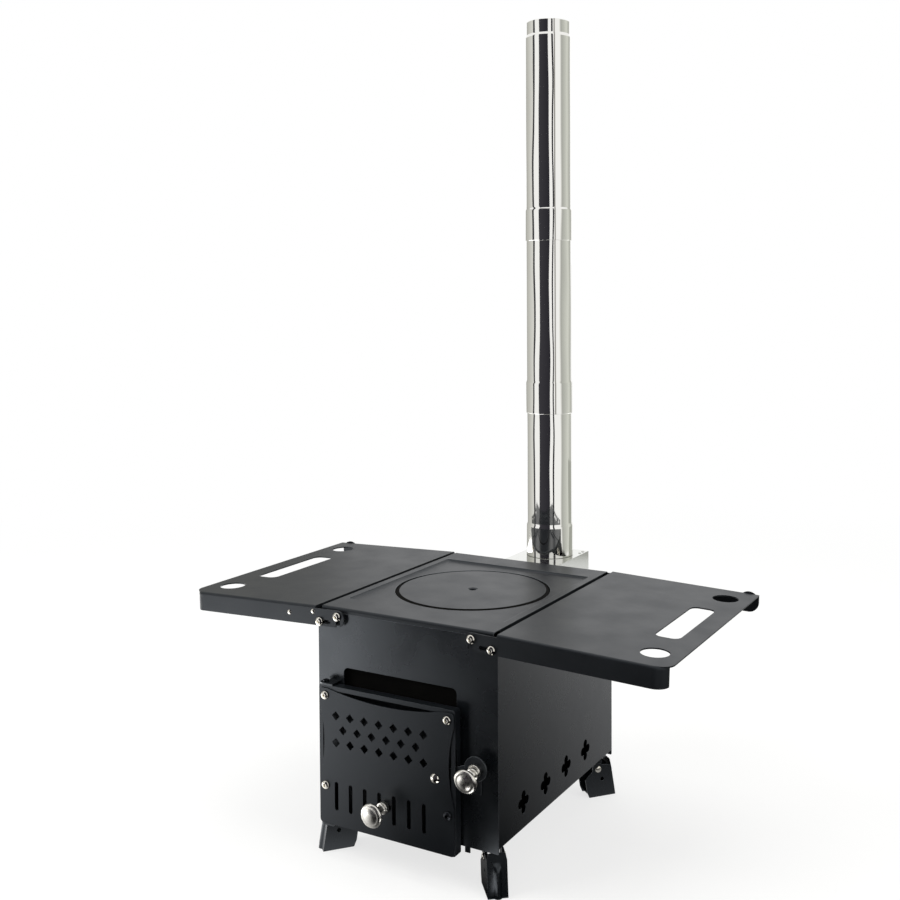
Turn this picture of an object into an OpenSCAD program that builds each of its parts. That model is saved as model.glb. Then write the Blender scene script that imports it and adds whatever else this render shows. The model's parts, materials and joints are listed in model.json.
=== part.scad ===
// Tent wood stove: a folded steel firebox on four folding legs, with a
// double-skinned air-controlled door, two fold-down side shelves, a round
// cooking lid, a rear smoke box and a three-piece plug-in chimney.
// Front is -Y, up is +Z. The origin lies on the ground under the middle of
// the stove's overall length and width. All sizes are in millimetres.

/* [Body] */
// Width of the front and back panels
body_w = 230; // [220:2:280]
// Depth from the front panel's face to the back panel's face
body_d = 298; // [260:2:380]
// Height from the underside to the cooking top
body_h = 228; // [218:2:280]
// Thickness of the body's steel sheet
sheet = 1.5; // [1:0.1:2]
// Outer radius of the folded corners
bend_r = 3; // [2.5:0.5:5]
// Height of the underside above the ground
ground_gap = 50; // [44:1:64]

/* [Cooking top] */
// Gap between the cooking top and each side wall's face
top_gap = 5; // [4:0.5:8]
// Length of the pressed recess, front to back
recess_l = 222; // [200:2:240]
// Width of the pressed recess
recess_w = 202; // [192:2:206]
// Depth of the pressed recess
recess_depth = 2.5; // [2:0.5:4]
// Diameter of the round lid
lid_d = 182; // [140:2:186]
// Gap round the lid
lid_gap = 1.2; // [0.6:0.2:2]
// Diameter of the lid's lifting hole
lift_hole_d = 8; // [6:1:12]

/* [Side vents] */
// Number of four-lobed vents in each side wall
vent_count = 4; // [2:1:5]
// Distance between vents
vent_pitch = 53.6; // [40:0.2:56]
// Size of a vent across its lobes
vent_size = 25; // [16:1:30]
// Height of the vents' centres above the underside
vent_z = 30; // [22:1:40]

/* [Door] */
// Width of the door
door_w = 176; // [160:2:180]
// Height of the door
door_h = 155; // [145:1:160]
// Depth of the door, front plate included
door_depth = 12; // [12:0.5:14]
// Gap between the front panel and the back of the door
door_gap = 3; // [2.5:0.5:4]
// Distance from the body's left edge to the door
door_side = 10.5; // [10:0.5:14]
// How far the door hangs below the body's underside
door_drop = 11; // [8:1:12]
// Thickness of the door's sheet
door_sheet = 1.2; // [1:0.1:1.5]
// Width of the rim turned in round the door pan's mouth
rim_w = 5; // [4:0.5:7]
// Distance of the corner screws from the door's sides
screw_in = 9; // [8:0.5:12]
// Distance of the top screws from the door's top
screw_top = 11; // [9:0.5:14]
// Height of the lower screws above the door's bottom
screw_low = 43; // [36:1:50]
// How far the front plate's top edge curves in
scallop_top = 8; // [4:0.5:10]
// How far the front plate's side edges curve in
scallop_side = 6.5; // [3:0.5:8]

/* [Air control] */
// Number of upright air slots
slot_count = 7; // [5:1:8]
// Distance between air slots
slot_pitch = 19; // [17:0.5:20]
// Width of an air slot
slot_w = 5; // [3:0.5:5]
// Height of an air slot
slot_h = 32; // [20:1:36]
// Travel of the air slider
slide_travel = 6; // [5.5:0.1:6.5]

/* [Knobs and latch] */
// Diameter of a knob's head
knob_d = 26; // [20:1:30]
// How far a knob stands out from the plate behind it
knob_reach = 37; // [30:1:42]
// Width of the latch bar
latch_w = 12; // [9:1:14]
// Thickness of the latch bar
latch_t = 2; // [1.5:0.5:3]
// Height of the latch's rivet above the door's bottom
latch_up = 79; // [70:1:90]
// Radius of the round plate behind the latch knob
latch_end_r = 13; // [9:0.5:14]
// Downward tilt of the latch knob
knob_tilt = 14; // [0:1:18]

/* [Side shelves] */
// Width of a shelf beyond the body's side
shelf_w = 186; // [120:2:190]
// Gap between a shelf's flange and the panel that carries it
shelf_stand = 3; // [2.5:0.5:4]
// Depth of a shelf's turned-down flanges
flange_h = 22; // [21:0.5:24]
// Radius of a shelf's wrapped front corner
corner_r = 14; // [12:1:20]
// Angle by which a shelf droops when it is open
shelf_droop = 2; // [0:0.5:3]
// Diameter of the round holes in a shelf
shelf_hole_d = 30; // [20:1:34]
// Distance of the round holes from a shelf's front and back edges
shelf_hole_in = 40; // [30:1:60]
// Length of the handle slot in a shelf
handle_l = 124; // [90:1:140]
// Width of the handle slot in a shelf
handle_w = 28; // [20:1:30]

/* [Legs] */
// Width of a leg's channel
leg_w = 22; // [18:1:24]
// Depth of a leg's side plates
leg_depth = 37; // [30:1:37]
// Angle by which a leg is turned from sideways to front-and-back
leg_turn = 50; // [40:1:55]
// Angle by which a leg splays outward
leg_splay = 9; // [0:1:12]
// Thickness of a leg's sheet
leg_sheet = 1.5; // [1.2:0.1:2]

/* [Smoke box] */
// Width of the smoke box
smoke_w = 78; // [72:1:100]
// Depth of the smoke box behind the back panel
smoke_d = 100; // [94:1:130]
// Height of the smoke box
smoke_h = 92; // [70:1:120]
// Distance from the back panel to the chimney's axis
flue_back = 60; // [54:1:70]

/* [Chimney] */
// Outer diameter of the chimney pipe
pipe_d = 60; // [50:1:65]
// Wall of the chimney pipe
pipe_wall = 1; // [0.8:0.1:1.5]
// Length of the upper and of the middle pipe
pipe_l = 288; // [200:1:340]
// Length of the lower pipe
pipe_low_l = 250; // [160:1:340]
// Length of a pipe's bell
bell_l = 41; // [30:1:50]
// Length of a pipe's reduced top end
spigot_l = 18; // [12:1:24]

/* [Hidden] */
$fn = 48;
running = 0.1;              // radial clearance of a turning pin
near = 0.3;                 // gap between pieces that move past each other

half_w = body_w / 2;
top_half = half_w - top_gap;
panel_top = body_h - bend_r - 3;       // seam between front panel and top
wall_top = panel_top;                  // side walls end below the top
skirt = 4;                             // panels hang below the underside
knob_front = door_gap + door_depth + knob_reach;
y_mid = (body_d + smoke_d - knob_front) / 2;

// door, measured in the body's frame
door_x0 = -half_w + door_side;
door_x1 = door_x0 + door_w;
door_z0 = -door_drop;
door_z1 = door_z0 + door_h;
door_back = -door_gap;
door_front = door_back - door_depth;
pan_front = door_front + door_sheet;
hinge_x = door_x0 + door_depth / 2;
hinge_y = door_back - door_depth / 2;
pin_r = 2;
door_screw_r = 2;
lug_r = 6;                             // hinge lug's round end
lug_l = 13;
lug_t = 2;
door_mid = (door_x0 + door_x1) / 2;
tab_w = 9;                             // screw tabs of the door pan
tab_t = door_depth / 2 - door_sheet - pin_r - running - 0.1;
mouth_x0 = door_x0 + 24;               // opening in the front panel
mouth_x1 = door_x1 - 6;
mouth_z0 = 12;
mouth_z1 = door_z1 + 18;
fire_x0 = mouth_x0 + 8;                // opening in the inner frame
fire_x1 = mouth_x1 - 8;
fire_z1 = door_z1 - 12;
wash_depth = 7;                        // air-wash channel behind the panel
wash_rim = 8;                          // channel's reach past the mouth

slot_x0 = door_x0 + 23.5;
slot_z0 = door_z0 + 17;
stem_r = 2;
stem_x = slot_x0 + 3 * slot_pitch + 6.8;
stem_z = slot_z0 + 18.5;
slider_t = 1.2;

// latch, measured in the body's frame
latch_px = door_x1 - 24.5;
latch_pz = door_z0 + latch_up;
latch_pin_r = 2.5;
latch_kx = door_x1 + 24;
latch_angle = 22;
latch_y1 = pan_front + 4;              // back face of the latch bar
latch_y0 = latch_y1 - latch_t;
latch_l = (latch_kx - latch_px) / cos(latch_angle);
latch_kz = latch_pz + latch_l * sin(latch_angle);

// shelves
shelf_x0 = half_w + 0.5;
shelf_x1 = half_w + shelf_w;
wrap_in = 4;                           // wrapped corner, in from the outer edge
shelf_lip = 9;                         // lip turned down beside the body
shelf_hole_out = 29;
handle_out = 23;
shelf_y0 = -shelf_stand - sheet;
shelf_y1 = body_d + shelf_stand + sheet;
pivot_x = half_w - 5;
pivot_z = body_h - 17;
guide_dx = 24;
guide_dz = 8;
guide_r = norm([guide_dx, guide_dz]);
guide_a = atan2(guide_dz, guide_dx);
shelf_pin_r = 2.5;
ear_slot_l = 15;                       // slot beside the pivot hole
ear_slot_w = 4.4;
nut_r = 3.4;
nut_l = 3;
seam_half = pivot_x - guide_dx - nut_r - 2;   // flange between the nuts
seam_l = 14;
rest_x = door_x1 + 3;                  // tab under the front panel's skirt

// legs
leg_pin_in = 16;                       // leg pivot in from the body's sides
leg_pin_back = 18;                     // leg pivot in from front and back
leg_pin_z = -15.5;
leg_pin_r = 2;
leg_web = 18;                          // web's face, out from the pivot
leg_top_r = 7.5;                       // rounded top of the side plates
leg_web_top = 0.6;                     // web's top edge above the pivot

// chimney
bell_gap = 0.2;
flue_y = body_d + flue_back;
smoke_top = body_h - 2;
bell_r = pipe_d / 2 + bell_gap + pipe_wall;
spigot_r = pipe_d / 2 - pipe_wall - bell_gap;
z_low = smoke_top + near;
z_mid = z_low + pipe_low_l - spigot_l - bell_l;
z_up = z_mid + pipe_l - spigot_l - bell_l;

// ---------------------------------------------------------------- helpers

// Box between two corners.
module span(a, b) translate(a) cube(b - a);

// Cylinder along Y between y0 and y1.
module bar_y(x, z, y0, y1, r)
    translate([x, y0, z]) rotate([-90, 0, 0]) cylinder(r = r, h = y1 - y0);

// Rectangle with round corners between two corners.
module round_rect(a, b, r) {
    translate([a.x + r, a.y]) square([b.x - a.x - 2 * r, b.y - a.y]);
    translate([a.x, a.y + r]) square([b.x - a.x, b.y - a.y - 2 * r]);
    for (x = [a.x + r, b.x - r], y = [a.y + r, b.y - r])
        translate([x, y]) circle(r);
}

// Plate drawn in X and Z, from y0 back to y1.
module upright(y0, y1)
    translate([0, y1, 0]) rotate([90, 0, 0]) linear_extrude(y1 - y0) children();

// Quarter of a bent sheet's section: outer radius r at the origin's corner.
module bend_section(r, t)
    intersection() {
        difference() {
            circle(r);
            circle(r - t);
        }
        square(r + 1);
    }

// Straight slot with round ends, upright in X and Z.
module slot_2d(x, z0, z1, w) {
    translate([x - w / 2, z0 + w / 2]) square([w, z1 - z0 - w]);
    for (z = [z0 + w / 2, z1 - w / 2]) translate([x, z]) circle(w / 2, $fn = 20);
}

// Half section of a domed head: radius r, height h with a small flat on top,
// height e at its edge.
module dome_2d(r, h, e) {
    round_r = ((h - e) * (h - e) + r * r) / (2 * (h - e));
    intersection() {
        translate([0, h + 0.03 - round_r]) circle(round_r, $fn = 96);
        square([r, h]);
    }
}

// Knob that stands out along -Y from the point [0, 0, 0].
module knob(reach, stud_l) {
    head = 11;
    rim_r = 4.5;
    rim_x = knob_d / 2 - rim_r;
    rotate([90, 0, 0]) {
        if (stud_l > 0) translate([0, 0, -stud_l]) cylinder(r = stem_r, h = stud_l);
        rotate_extrude() {
            square([4.5, reach - head + 1]);
            square([6.5, 6]);
            translate([0, reach - head - 4]) square([6, 4.5]);
            translate([0, reach - head + 0.3]) square([rim_x, 2 * rim_r - 0.6]);
            translate([rim_x, reach - head + rim_r]) circle(rim_r);
            translate([0, reach - 5]) dome_2d(rim_x + 1, 5, 3.2);
        }
    }
}

// Everything is drawn in the body's frame and moved to the shared origin.
module place() translate([0, -y_mid, ground_gap]) children();

// ------------------------------------------------------------------- body

// Side walls and bottom, folded from one sheet.
module body_shell() color("#2b2c2d") place() difference() {
    translate([0, body_d - sheet, 0]) rotate([90, 0, 0])
        linear_extrude(body_d - 2 * sheet) difference() {
            round_rect([-half_w, 0], [half_w, body_h + 20], bend_r);
            round_rect([-half_w + sheet, sheet],
                [half_w - sheet, body_h + 20], bend_r - sheet);
            translate([-half_w - 1, wall_top]) square([body_w + 2, 40]);
        }
    for (i = [0 : vent_count - 1])
        translate([0, body_d / 2 - 12 + (i - (vent_count - 1) / 2) * vent_pitch, vent_z])
            rotate([0, 90, 0]) translate([0, 0, -half_w - 1]) vent(body_w + 2);
}

// Four-lobed vent, cut along Z.
module vent(h) {
    lobe = vent_size * 0.2;
    for (a = [0 : 90 : 270]) rotate(a)
        translate([vent_size / 2 - lobe, 0]) cylinder(r = lobe, h = h, $fn = 24);
    translate([-lobe, -lobe, 0]) cube([2 * lobe, 2 * lobe, h]);
}

// Holes for the shelf screws in the front or the back panel.
module shelf_screw_holes(y0, y1)
    for (s = [-1, 1]) {
        bar_y(s * pivot_x, pivot_z, y0, y1, shelf_pin_r);
        bar_y(s * (pivot_x - guide_dx), pivot_z + guide_dz, y0, y1, shelf_pin_r);
    }

// Front wall: rounded door mouth, seam flange at the top, rest tab below.
module front_panel() color("#4a4f55") place() difference() {
    union() {
        upright(0, sheet) round_rect([-half_w, -skirt], [half_w, panel_top], 1);
        span([-seam_half, sheet, panel_top - sheet], [seam_half, seam_l, panel_top]);
        span([rest_x, 0, -skirt - 6], [rest_x + 6, sheet, -skirt]);
    }
    upright(-1, sheet + 1)
        round_rect([mouth_x0, mouth_z0], [mouth_x1, mouth_z1], 6);
    shelf_screw_holes(-1, sheet + 1);
}

// Back wall with the opening to the smoke box.
module back_panel() color("#2b2c2d") place() difference() {
    union() {
        upright(body_d - sheet, body_d)
            round_rect([-half_w, -skirt], [half_w, panel_top], 1);
        span([-seam_half, body_d - seam_l, panel_top - sheet],
            [seam_half, body_d - sheet, panel_top]);
    }
    upright(body_d - sheet - 1, body_d + 1)
        round_rect([-smoke_w / 2 + 8, smoke_top - smoke_h + 10],
            [smoke_w / 2 - 8, smoke_top - 12], 8);
    shelf_screw_holes(body_d - sheet - 1, body_d + 1);
}

// Shallow inner frame: air comes in above the door, behind the front panel.
module air_wash_frame() color("#1c1c1d") place() difference() {
    x0 = mouth_x0 - wash_rim;
    x1 = mouth_x1 + wash_rim;
    z0 = mouth_z0 - wash_rim;
    z1 = mouth_z1 + wash_rim;
    union() {
        upright(wash_depth, sheet + wash_depth)
            round_rect([x0, z0], [x1, z1], 4);
        upright(sheet, wash_depth) difference() {
            round_rect([x0, z0], [x1, z1], 4);
            round_rect([x0 + sheet, z0 + sheet], [x1 - sheet, z1 - sheet], 2.5);
        }
    }
    upright(sheet - 1, sheet + wash_depth + 1)
        round_rect([fire_x0, mouth_z0], [fire_x1, fire_z1], 5);
}

// Cooking top: turned down at front and back, with a pressed recess.
module cooking_top() color("#6b6f73") place() difference() {
    floor_z = body_h - recess_depth;
    mid_y = body_d / 2;
    lip_in = 15;
    union() {
        span([-top_half, bend_r, body_h - sheet], [top_half, body_d - bend_r, body_h]);
        for (s = [0, 1]) translate([0, s * body_d, 0]) mirror([0, s, 0]) {
            translate([-top_half, bend_r, body_h - bend_r]) rotate([90, 0, 90])
                linear_extrude(2 * top_half) mirror([1, 0]) bend_section(bend_r, sheet);
            span([-top_half, 0, panel_top], [top_half, sheet, body_h - bend_r]);
        }
        for (s = [-1, 1]) translate([s * top_half, 0, 0])
            span([s > 0 ? -sheet : 0, lip_in, body_h - 12],
                [s > 0 ? 0 : sheet, body_d - lip_in, body_h - sheet]);
        span([-recess_w / 2 - sheet, mid_y - recess_l / 2 - sheet, floor_z - sheet],
            [recess_w / 2 + sheet, mid_y + recess_l / 2 + sheet, body_h - sheet]);
    }
    translate([0, 0, floor_z]) linear_extrude(recess_depth + 1)
        round_rect([-recess_w / 2, mid_y - recess_l / 2],
            [recess_w / 2, mid_y + recess_l / 2], 3);
    translate([0, mid_y, floor_z - 5]) cylinder(d = lid_d + 2 * lid_gap, h = 10, $fn = 96);
}

// Ring under the recess that the round lid rests on.
module lid_seat_ring() color("#1c1c1d") place()
    translate([0, body_d / 2, body_h - recess_depth - 2 * sheet]) difference() {
        cylinder(d = lid_d + 14, h = sheet, $fn = 96);
        translate([0, 0, -1]) cylinder(d = lid_d - 12, h = sheet + 2, $fn = 96);
    }

// Round lid with its lifting hole.
module round_lid() color("#777b7e") place()
    translate([0, body_d / 2, body_h - recess_depth - sheet]) difference() {
        rotate_extrude($fn = 96) {
            square([lid_d / 2, sheet - 0.4]);
            square([lid_d / 2 - 0.5, sheet]);
        }
        translate([0, 0, -1]) cylinder(d = lift_hole_d, h = sheet + 2, $fn = 32);
        translate([0, 0, sheet - 0.6]) cylinder(d = lift_hole_d + 5, h = 1, $fn = 32);
    }

// Slotted grate that holds the logs off the bottom.
module fire_grate() color("#3a3937") place() {
    x1 = half_w - sheet - 16;
    y0 = 22;
    y1 = body_d - y0;
    top = 16;
    sheet_g = 2;
    border = 16;
    slots = 9;
    pitch = (y1 - y0 - border) / slots;
    difference() {
        span([-x1, y0, top - sheet_g], [x1, y1, top]);
        for (i = [0 : slots - 1]) translate([0, y0 + border + i * pitch, 0])
            span([border - x1, 0, top - sheet_g - 1], [x1 - border, pitch / 2, top + 1]);
    }
    for (x = [-x1, x1 - sheet_g])
        span([x, y0, sheet], [x + sheet_g, y1, top - sheet_g]);
}

// Heat shield inside a side wall; air from the vents rises behind it.
module liner(side) color("#222324") place() {
    x0 = half_w - sheet - 10;
    z1 = wall_top - 34;
    mirror([side < 0 ? 1 : 0, 0, 0]) {
        span([x0 - 1.2, 20, sheet], [x0, body_d - 20, z1]);
        span([x0, 20, z1 - 1.2], [half_w - sheet, body_d - 20, z1]);
    }
}
module liner_left() liner(-1);
module liner_right() liner(1);

// ------------------------------------------------------------------- door

// Concave plate outline: full at the bottom, curved in at the top and sides.
module plate_outline() {
    inset = 3;
    top_c = door_w - 24;
    top_r = (top_c * top_c / 4 + scallop_top * scallop_top) / (2 * scallop_top);
    z_top = door_z1 - screw_top - 8;
    z_low = door_z0 + screw_low + 8;
    side_c = z_top - z_low;
    side_r = (side_c * side_c / 4 + scallop_side * scallop_side) / (2 * scallop_side);
    difference() {
        round_rect([door_x0 + 1, door_z0], [door_x1 - 1, door_z1 - inset], 4);
        translate([door_mid, door_z1 - inset - scallop_top + top_r])
            circle(top_r, $fn = 160);
        for (s = [-1, 1])
            translate([door_mid + s * (door_w / 2 - 1 - scallop_side + side_r), (z_top + z_low) / 2])
                circle(side_r, $fn = 120);
    }
}

// Pan of the door: back wall, four sides and a narrow rim turned in.
module door_pan() color("#33373b") place() difference() {
    union() {
        difference() {
            upright(pan_front, door_back)
                round_rect([door_x0, door_z0], [door_x1, door_z1], 3);
            upright(pan_front + door_sheet, door_back - door_sheet)
                round_rect([door_x0 + door_sheet, door_z0 + door_sheet],
                    [door_x1 - door_sheet, door_z1 - door_sheet], 2);
            upright(pan_front - 1, pan_front + 3)
                round_rect([door_x0 + rim_w, door_z0 + rim_w],
                    [door_x1 - rim_w, door_z1 - rim_w], 3);
        }
        for (s = [-1, 1], z = [door_z0 + screw_low, door_z1 - screw_top])
            translate([door_mid + s * (door_w / 2 - screw_in), pan_front, z])
                span([s > 0 ? -tab_w / 2 : -screw_in, 0, -tab_w / 2],
                    [s > 0 ? screw_in : tab_w / 2, tab_t, tab_w / 2]);
    }
    at_door_screws(0) bar_y(0, 0, pan_front - 1, pan_front + tab_t + 1, door_screw_r);
    translate([hinge_x, hinge_y, door_z0 - 1])
        cylinder(r = pin_r + running, h = door_h + 2, $fn = 32);
    upright(door_back - door_sheet - 1, door_back + 1)
        for (i = [0 : slot_count - 1])
            slot_2d(slot_x0 + i * slot_pitch, mouth_z0 + 2, mouth_z0 + 14, slot_w);
    span([door_x1 - rim_w - 1, latch_y0 - near, latch_pz - 2],
        [door_x1 + 1, latch_y1 + near, latch_pz + 34]);
}

// Front plate with the air slots and a staggered row pattern of lozenges.
module door_front_plate() color("#5a5d61") place() difference() {
    upright(door_front, pan_front) plate_outline();
    upright(door_front - 1, pan_front + 1) {
        for (i = [0 : slot_count - 1])
            slot_2d(slot_x0 + i * slot_pitch, slot_z0, slot_z0 + slot_h, slot_w);
        for (row = [0 : 2], i = [0 : 6 - row % 2])
            translate([slot_x0 + (i + (row % 2) / 2) * slot_pitch,
                    door_z1 - 62 + row * 15]) rotate(45)
                square(7.5, center = true);
        translate([stem_x - stem_r - near, stem_z - stem_r - near])
            square([slide_travel + 2 * stem_r + 2 * near, 2 * stem_r + 2 * near]);
    }
    at_door_screws(0) bar_y(0, 0, door_front - 1, pan_front + 1, door_screw_r);
    bar_y(latch_px, latch_pz, door_front - 1, pan_front + 1, latch_pin_r);
}

// Button head with a hexagon socket, standing out along -Y.
module button_head(r) rotate([90, 0, 0]) difference() {
    rotate_extrude($fn = 32) dome_2d(r, 0.62 * r, 0.2 * r);
    translate([0, 0, 0.3 * r]) cylinder(r = 0.36 * r, h = r, $fn = 6);
}

// Places of the door's corner screws.
module at_door_screws(y)
    for (x = [door_x0 + screw_in, door_x1 - screw_in],
            z = [door_z0 + screw_low, door_z1 - screw_top])
        translate([x, y, z]) children();

// Four screws that hold the front plate to the pan.
module door_screws() color("#c9cdd2") place() {
    at_door_screws(door_front) button_head(4.8);
    at_door_screws(0) bar_y(0, 0, door_front, pan_front + tab_t, door_screw_r);
}

// Long pin of the door's hinge, headed at the top.
module door_hinge_pin() color("#3f4246") place() {
    z0 = door_z0 - near - lug_t - 0.8;
    z1 = door_z1 + near + lug_t;
    translate([hinge_x, hinge_y, z0]) cylinder(r = pin_r, h = z1 - z0, $fn = 32);
    translate([hinge_x, hinge_y, z1]) cylinder(r = pin_r + 1.5, h = 1.8, $fn = 32);
}

// Lug with a round end that holds one end of the hinge pin.
module hinge_lug(z0, y_wall) difference() {
    union() {
        translate([hinge_x, hinge_y, z0]) cylinder(r = lug_r, h = lug_t);
        span([hinge_x, hinge_y - lug_r, z0], [hinge_x + lug_l, y_wall, z0 + lug_t]);
        span([hinge_x - lug_r, hinge_y, z0], [hinge_x, hinge_y + 3, z0 + lug_t]);
    }
    translate([hinge_x, hinge_y, z0 - 1]) cylinder(r = pin_r, h = lug_t + 2, $fn = 32);
}

// Upper hinge bracket, welded to the front panel above the door.
module hinge_bracket_upper() color("#2b2c2d") place()
    hinge_lug(door_z1 + near, 0);

// Lower hinge bracket, welded behind the skirt.
module hinge_bracket_lower() color("#2b2c2d") place() {
    z0 = door_z0 - near - lug_t;
    hinge_lug(z0, sheet);
    span([hinge_x + 4, sheet, z0], [hinge_x + lug_l, sheet + lug_t, 0]);
}

// ------------------------------------------------------------ air control

// Slotted plate behind the front plate.
module air_slider() color("#303336") place() difference() {
    span([slot_x0 - 8, pan_front + near, slot_z0 - 4],
        [slot_x0 + (slot_count - 1) * slot_pitch + 8, pan_front + near + slider_t,
            slot_z0 + slot_h + 4]);
    upright(pan_front - 1, pan_front + 4)
        for (i = [0 : slot_count - 1])
            slot_2d(slot_x0 + i * slot_pitch, slot_z0, slot_z0 + slot_h, slot_w);
    bar_y(stem_x, stem_z, pan_front - 1, pan_front + 4, stem_r);
}

// Two strips that carry the slider's edges.
module air_slider_rails() color("#2b2c2d") place()
    for (s = [0, 1]) {
        edge_z = s ? slot_z0 + slot_h + 4 + near : slot_z0 - 4 - near;
        out = s ? 1 : -1;
        z_a = min(edge_z, edge_z + out * 4);
        z_b = min(edge_z - out * 3, edge_z + out * 4);
        x_a = slot_x0 - 9;
        x_b = slot_x0 + (slot_count - 1) * slot_pitch + 12;
        span([x_a, pan_front, z_a], [x_b, pan_front + 2 * near + slider_t, z_a + 4]);
        span([x_a, pan_front + 2 * near + slider_t, z_b],
            [x_b, pan_front + 2 * near + slider_t + 1, z_b + 7]);
    }

// Polished knob of the air slider.
module air_knob() color("#d8dadd") place()
    translate([stem_x, door_front - near, stem_z])
        knob(knob_reach - near, door_sheet + 2 * near + slider_t);

// ------------------------------------------------------------------ latch

// Flat bar that turns on a rivet in the door and drops behind the keeper.
module latch_bar() color("#2f3236") place() difference() {
    translate([latch_px, 0, latch_pz]) rotate([0, -latch_angle, 0])
        translate([0, latch_y0, 0]) {
            rotate([-90, 0, 0]) cylinder(r = latch_w / 2, h = latch_t);
            span([0, 0, -latch_w / 2], [latch_l, latch_t, latch_w / 2]);
            translate([latch_l, 0, 0]) rotate([-90, 0, 0])
                cylinder(r = latch_w / 2, h = latch_t);
        }
    bar_y(latch_px, latch_pz, latch_y0 - 1, latch_y1 + 1, latch_pin_r + running);
    bar_y(latch_kx, latch_kz, latch_y0 - 1, latch_y1 + 1, stem_r);
}

// Round plate between the latch bar and its knob.
module latch_plate() color("#26282a") place() difference() {
    bar_y(latch_kx, latch_kz, latch_y0 - latch_t, latch_y0, latch_end_r);
    bar_y(latch_kx, latch_kz, latch_y0 - latch_t - 1, latch_y0 + 1, stem_r);
}

// Domed rivet that the latch bar turns on.
module latch_rivet() color("#cfd2d6") place() {
    bar_y(latch_px, latch_pz, door_front, latch_y1 + near, latch_pin_r);
    bar_y(latch_px, latch_pz, pan_front, latch_y0 - near, 4.5);
    bar_y(latch_px, latch_pz, latch_y1 + near, latch_y1 + near + 1.5, 4.5);
    translate([latch_px, door_front, latch_pz]) rotate([90, 0, 0])
        rotate_extrude() dome_2d(5.3, 3, 0.5);
}

// Polished knob of the latch, tilted down a little.
module latch_knob() color("#d8dadd") place()
    translate([latch_kx, latch_y0 - latch_t, latch_kz]) {
        shoulder = 4.2;
        rotate([-90, 0, 0]) cylinder(r = stem_r, h = 2 * latch_t);
        rotate([90, 0, 0]) cylinder(r = 7.2, h = shoulder);
        translate([0, -shoulder / 2, 0]) rotate([knob_tilt, 0, 0])
            knob((knob_front + latch_y0 - latch_t - 3.9) / cos(knob_tilt) - 3, 0);
    }

// Keeper on the front panel, with a lip that the latch bar drops behind.
module latch_keeper() color("#26282a") place() {
    x0 = door_x1 + 4;
    x1 = x0 + 10;
    bar_z = latch_pz + (x0 - latch_px) * tan(latch_angle)
        - latch_w / 2 / cos(latch_angle);
    lip_top = bar_z - near;
    floor_z = lip_top - 3;
    lip_y = latch_y0 - near - 1.5;
    span([x0, -1.5, floor_z - 14], [x1 + 10, 0, floor_z + 16]);
    span([x0, lip_y, floor_z - 1.5], [x1, -1.5, floor_z]);
    span([x0, lip_y, floor_z], [x1, lip_y + 1.5, lip_top]);
}

// ----------------------------------------------------------- side shelves

// Right-hand shelf, level: plate, inner lip, bent front and back with ears.
module shelf_level() {
    z1 = body_h;
    straight = shelf_x1 - wrap_in - corner_r;
    edge_r = 15;
    hole_x = shelf_x1 - shelf_hole_out;
    difference() {
        union() {
            translate([0, 0, z1 - sheet]) linear_extrude(sheet) {
                translate([shelf_x0, shelf_y0 + bend_r])
                    square([straight - shelf_x0, shelf_y1 - shelf_y0 - 2 * bend_r]);
                translate([straight, shelf_y0 + bend_r + edge_r])
                    square([shelf_x1 - straight, shelf_y1 - shelf_y0 - 2 * bend_r - edge_r]);
                translate([shelf_x1 - edge_r, shelf_y0 + bend_r + edge_r]) circle(edge_r);
                translate([straight - 1, shelf_y0 + bend_r])
                    square([shelf_x1 - edge_r - straight + 1, edge_r + 1]);
            }
            span([shelf_x0, -shelf_stand - 1, z1 - shelf_lip],
                [shelf_x0 + sheet, body_d + shelf_stand + 1, z1 - sheet]);
            shelf_side(straight);
            translate([straight, shelf_y0 + corner_r, 0]) rotate([0, 0, -90]) {
                translate([0, 0, z1 - bend_r]) rotate_extrude(angle = 90)
                    translate([corner_r - bend_r, 0]) bend_section(bend_r, sheet);
                translate([0, 0, z1 - flange_h]) rotate_extrude(angle = 90)
                    translate([corner_r - sheet, 0]) square([sheet, flange_h - bend_r]);
            }
            translate([0, shelf_y0 + shelf_y1, 0]) mirror([0, 1, 0]) shelf_side(shelf_x1 - 12);
            upright(shelf_y1 - sheet, shelf_y1) back_flange_end();
            translate([shelf_x1 - 13, shelf_y1 - bend_r, z1 - bend_r]) rotate([90, 0, 90])
                linear_extrude(12.2) bend_section(bend_r, sheet);
        }
        for (y = [shelf_y0 + shelf_hole_in, shelf_y1 - shelf_hole_in])
            translate([hole_x, y, z1 - 3]) cylinder(d = shelf_hole_d, h = 4);
        translate([0, 0, z1 - 3]) linear_extrude(4)
            round_rect([shelf_x1 - handle_out - handle_w, (shelf_y0 + shelf_y1 - handle_l) / 2],
                [shelf_x1 - handle_out, (shelf_y0 + shelf_y1 + handle_l) / 2], 9);
    }
}

// Bend, flange and ear along the front, out to the given place.
module shelf_side(x_end) {
    translate([shelf_x0, shelf_y0 + bend_r, body_h - bend_r]) rotate([90, 0, 90])
        linear_extrude(x_end - shelf_x0) mirror([1, 0]) bend_section(bend_r, sheet);
    span([shelf_x0, shelf_y0, body_h - flange_h], [x_end, shelf_y0 + sheet, body_h - bend_r]);
    translate([0, shelf_y0, 0]) shelf_ear();
}

// Outer end of the back flange, its lower corner rounded.
module back_flange_end() {
    r = 12;
    x_end = shelf_x1 - 0.8;
    translate([x_end - r - 1, body_h - flange_h]) square([1, flange_h - bend_r]);
    translate([x_end - r, body_h - flange_h + r]) square([r, flange_h - bend_r - r]);
    translate([x_end - r, body_h - flange_h + r]) circle(r);
}

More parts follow.
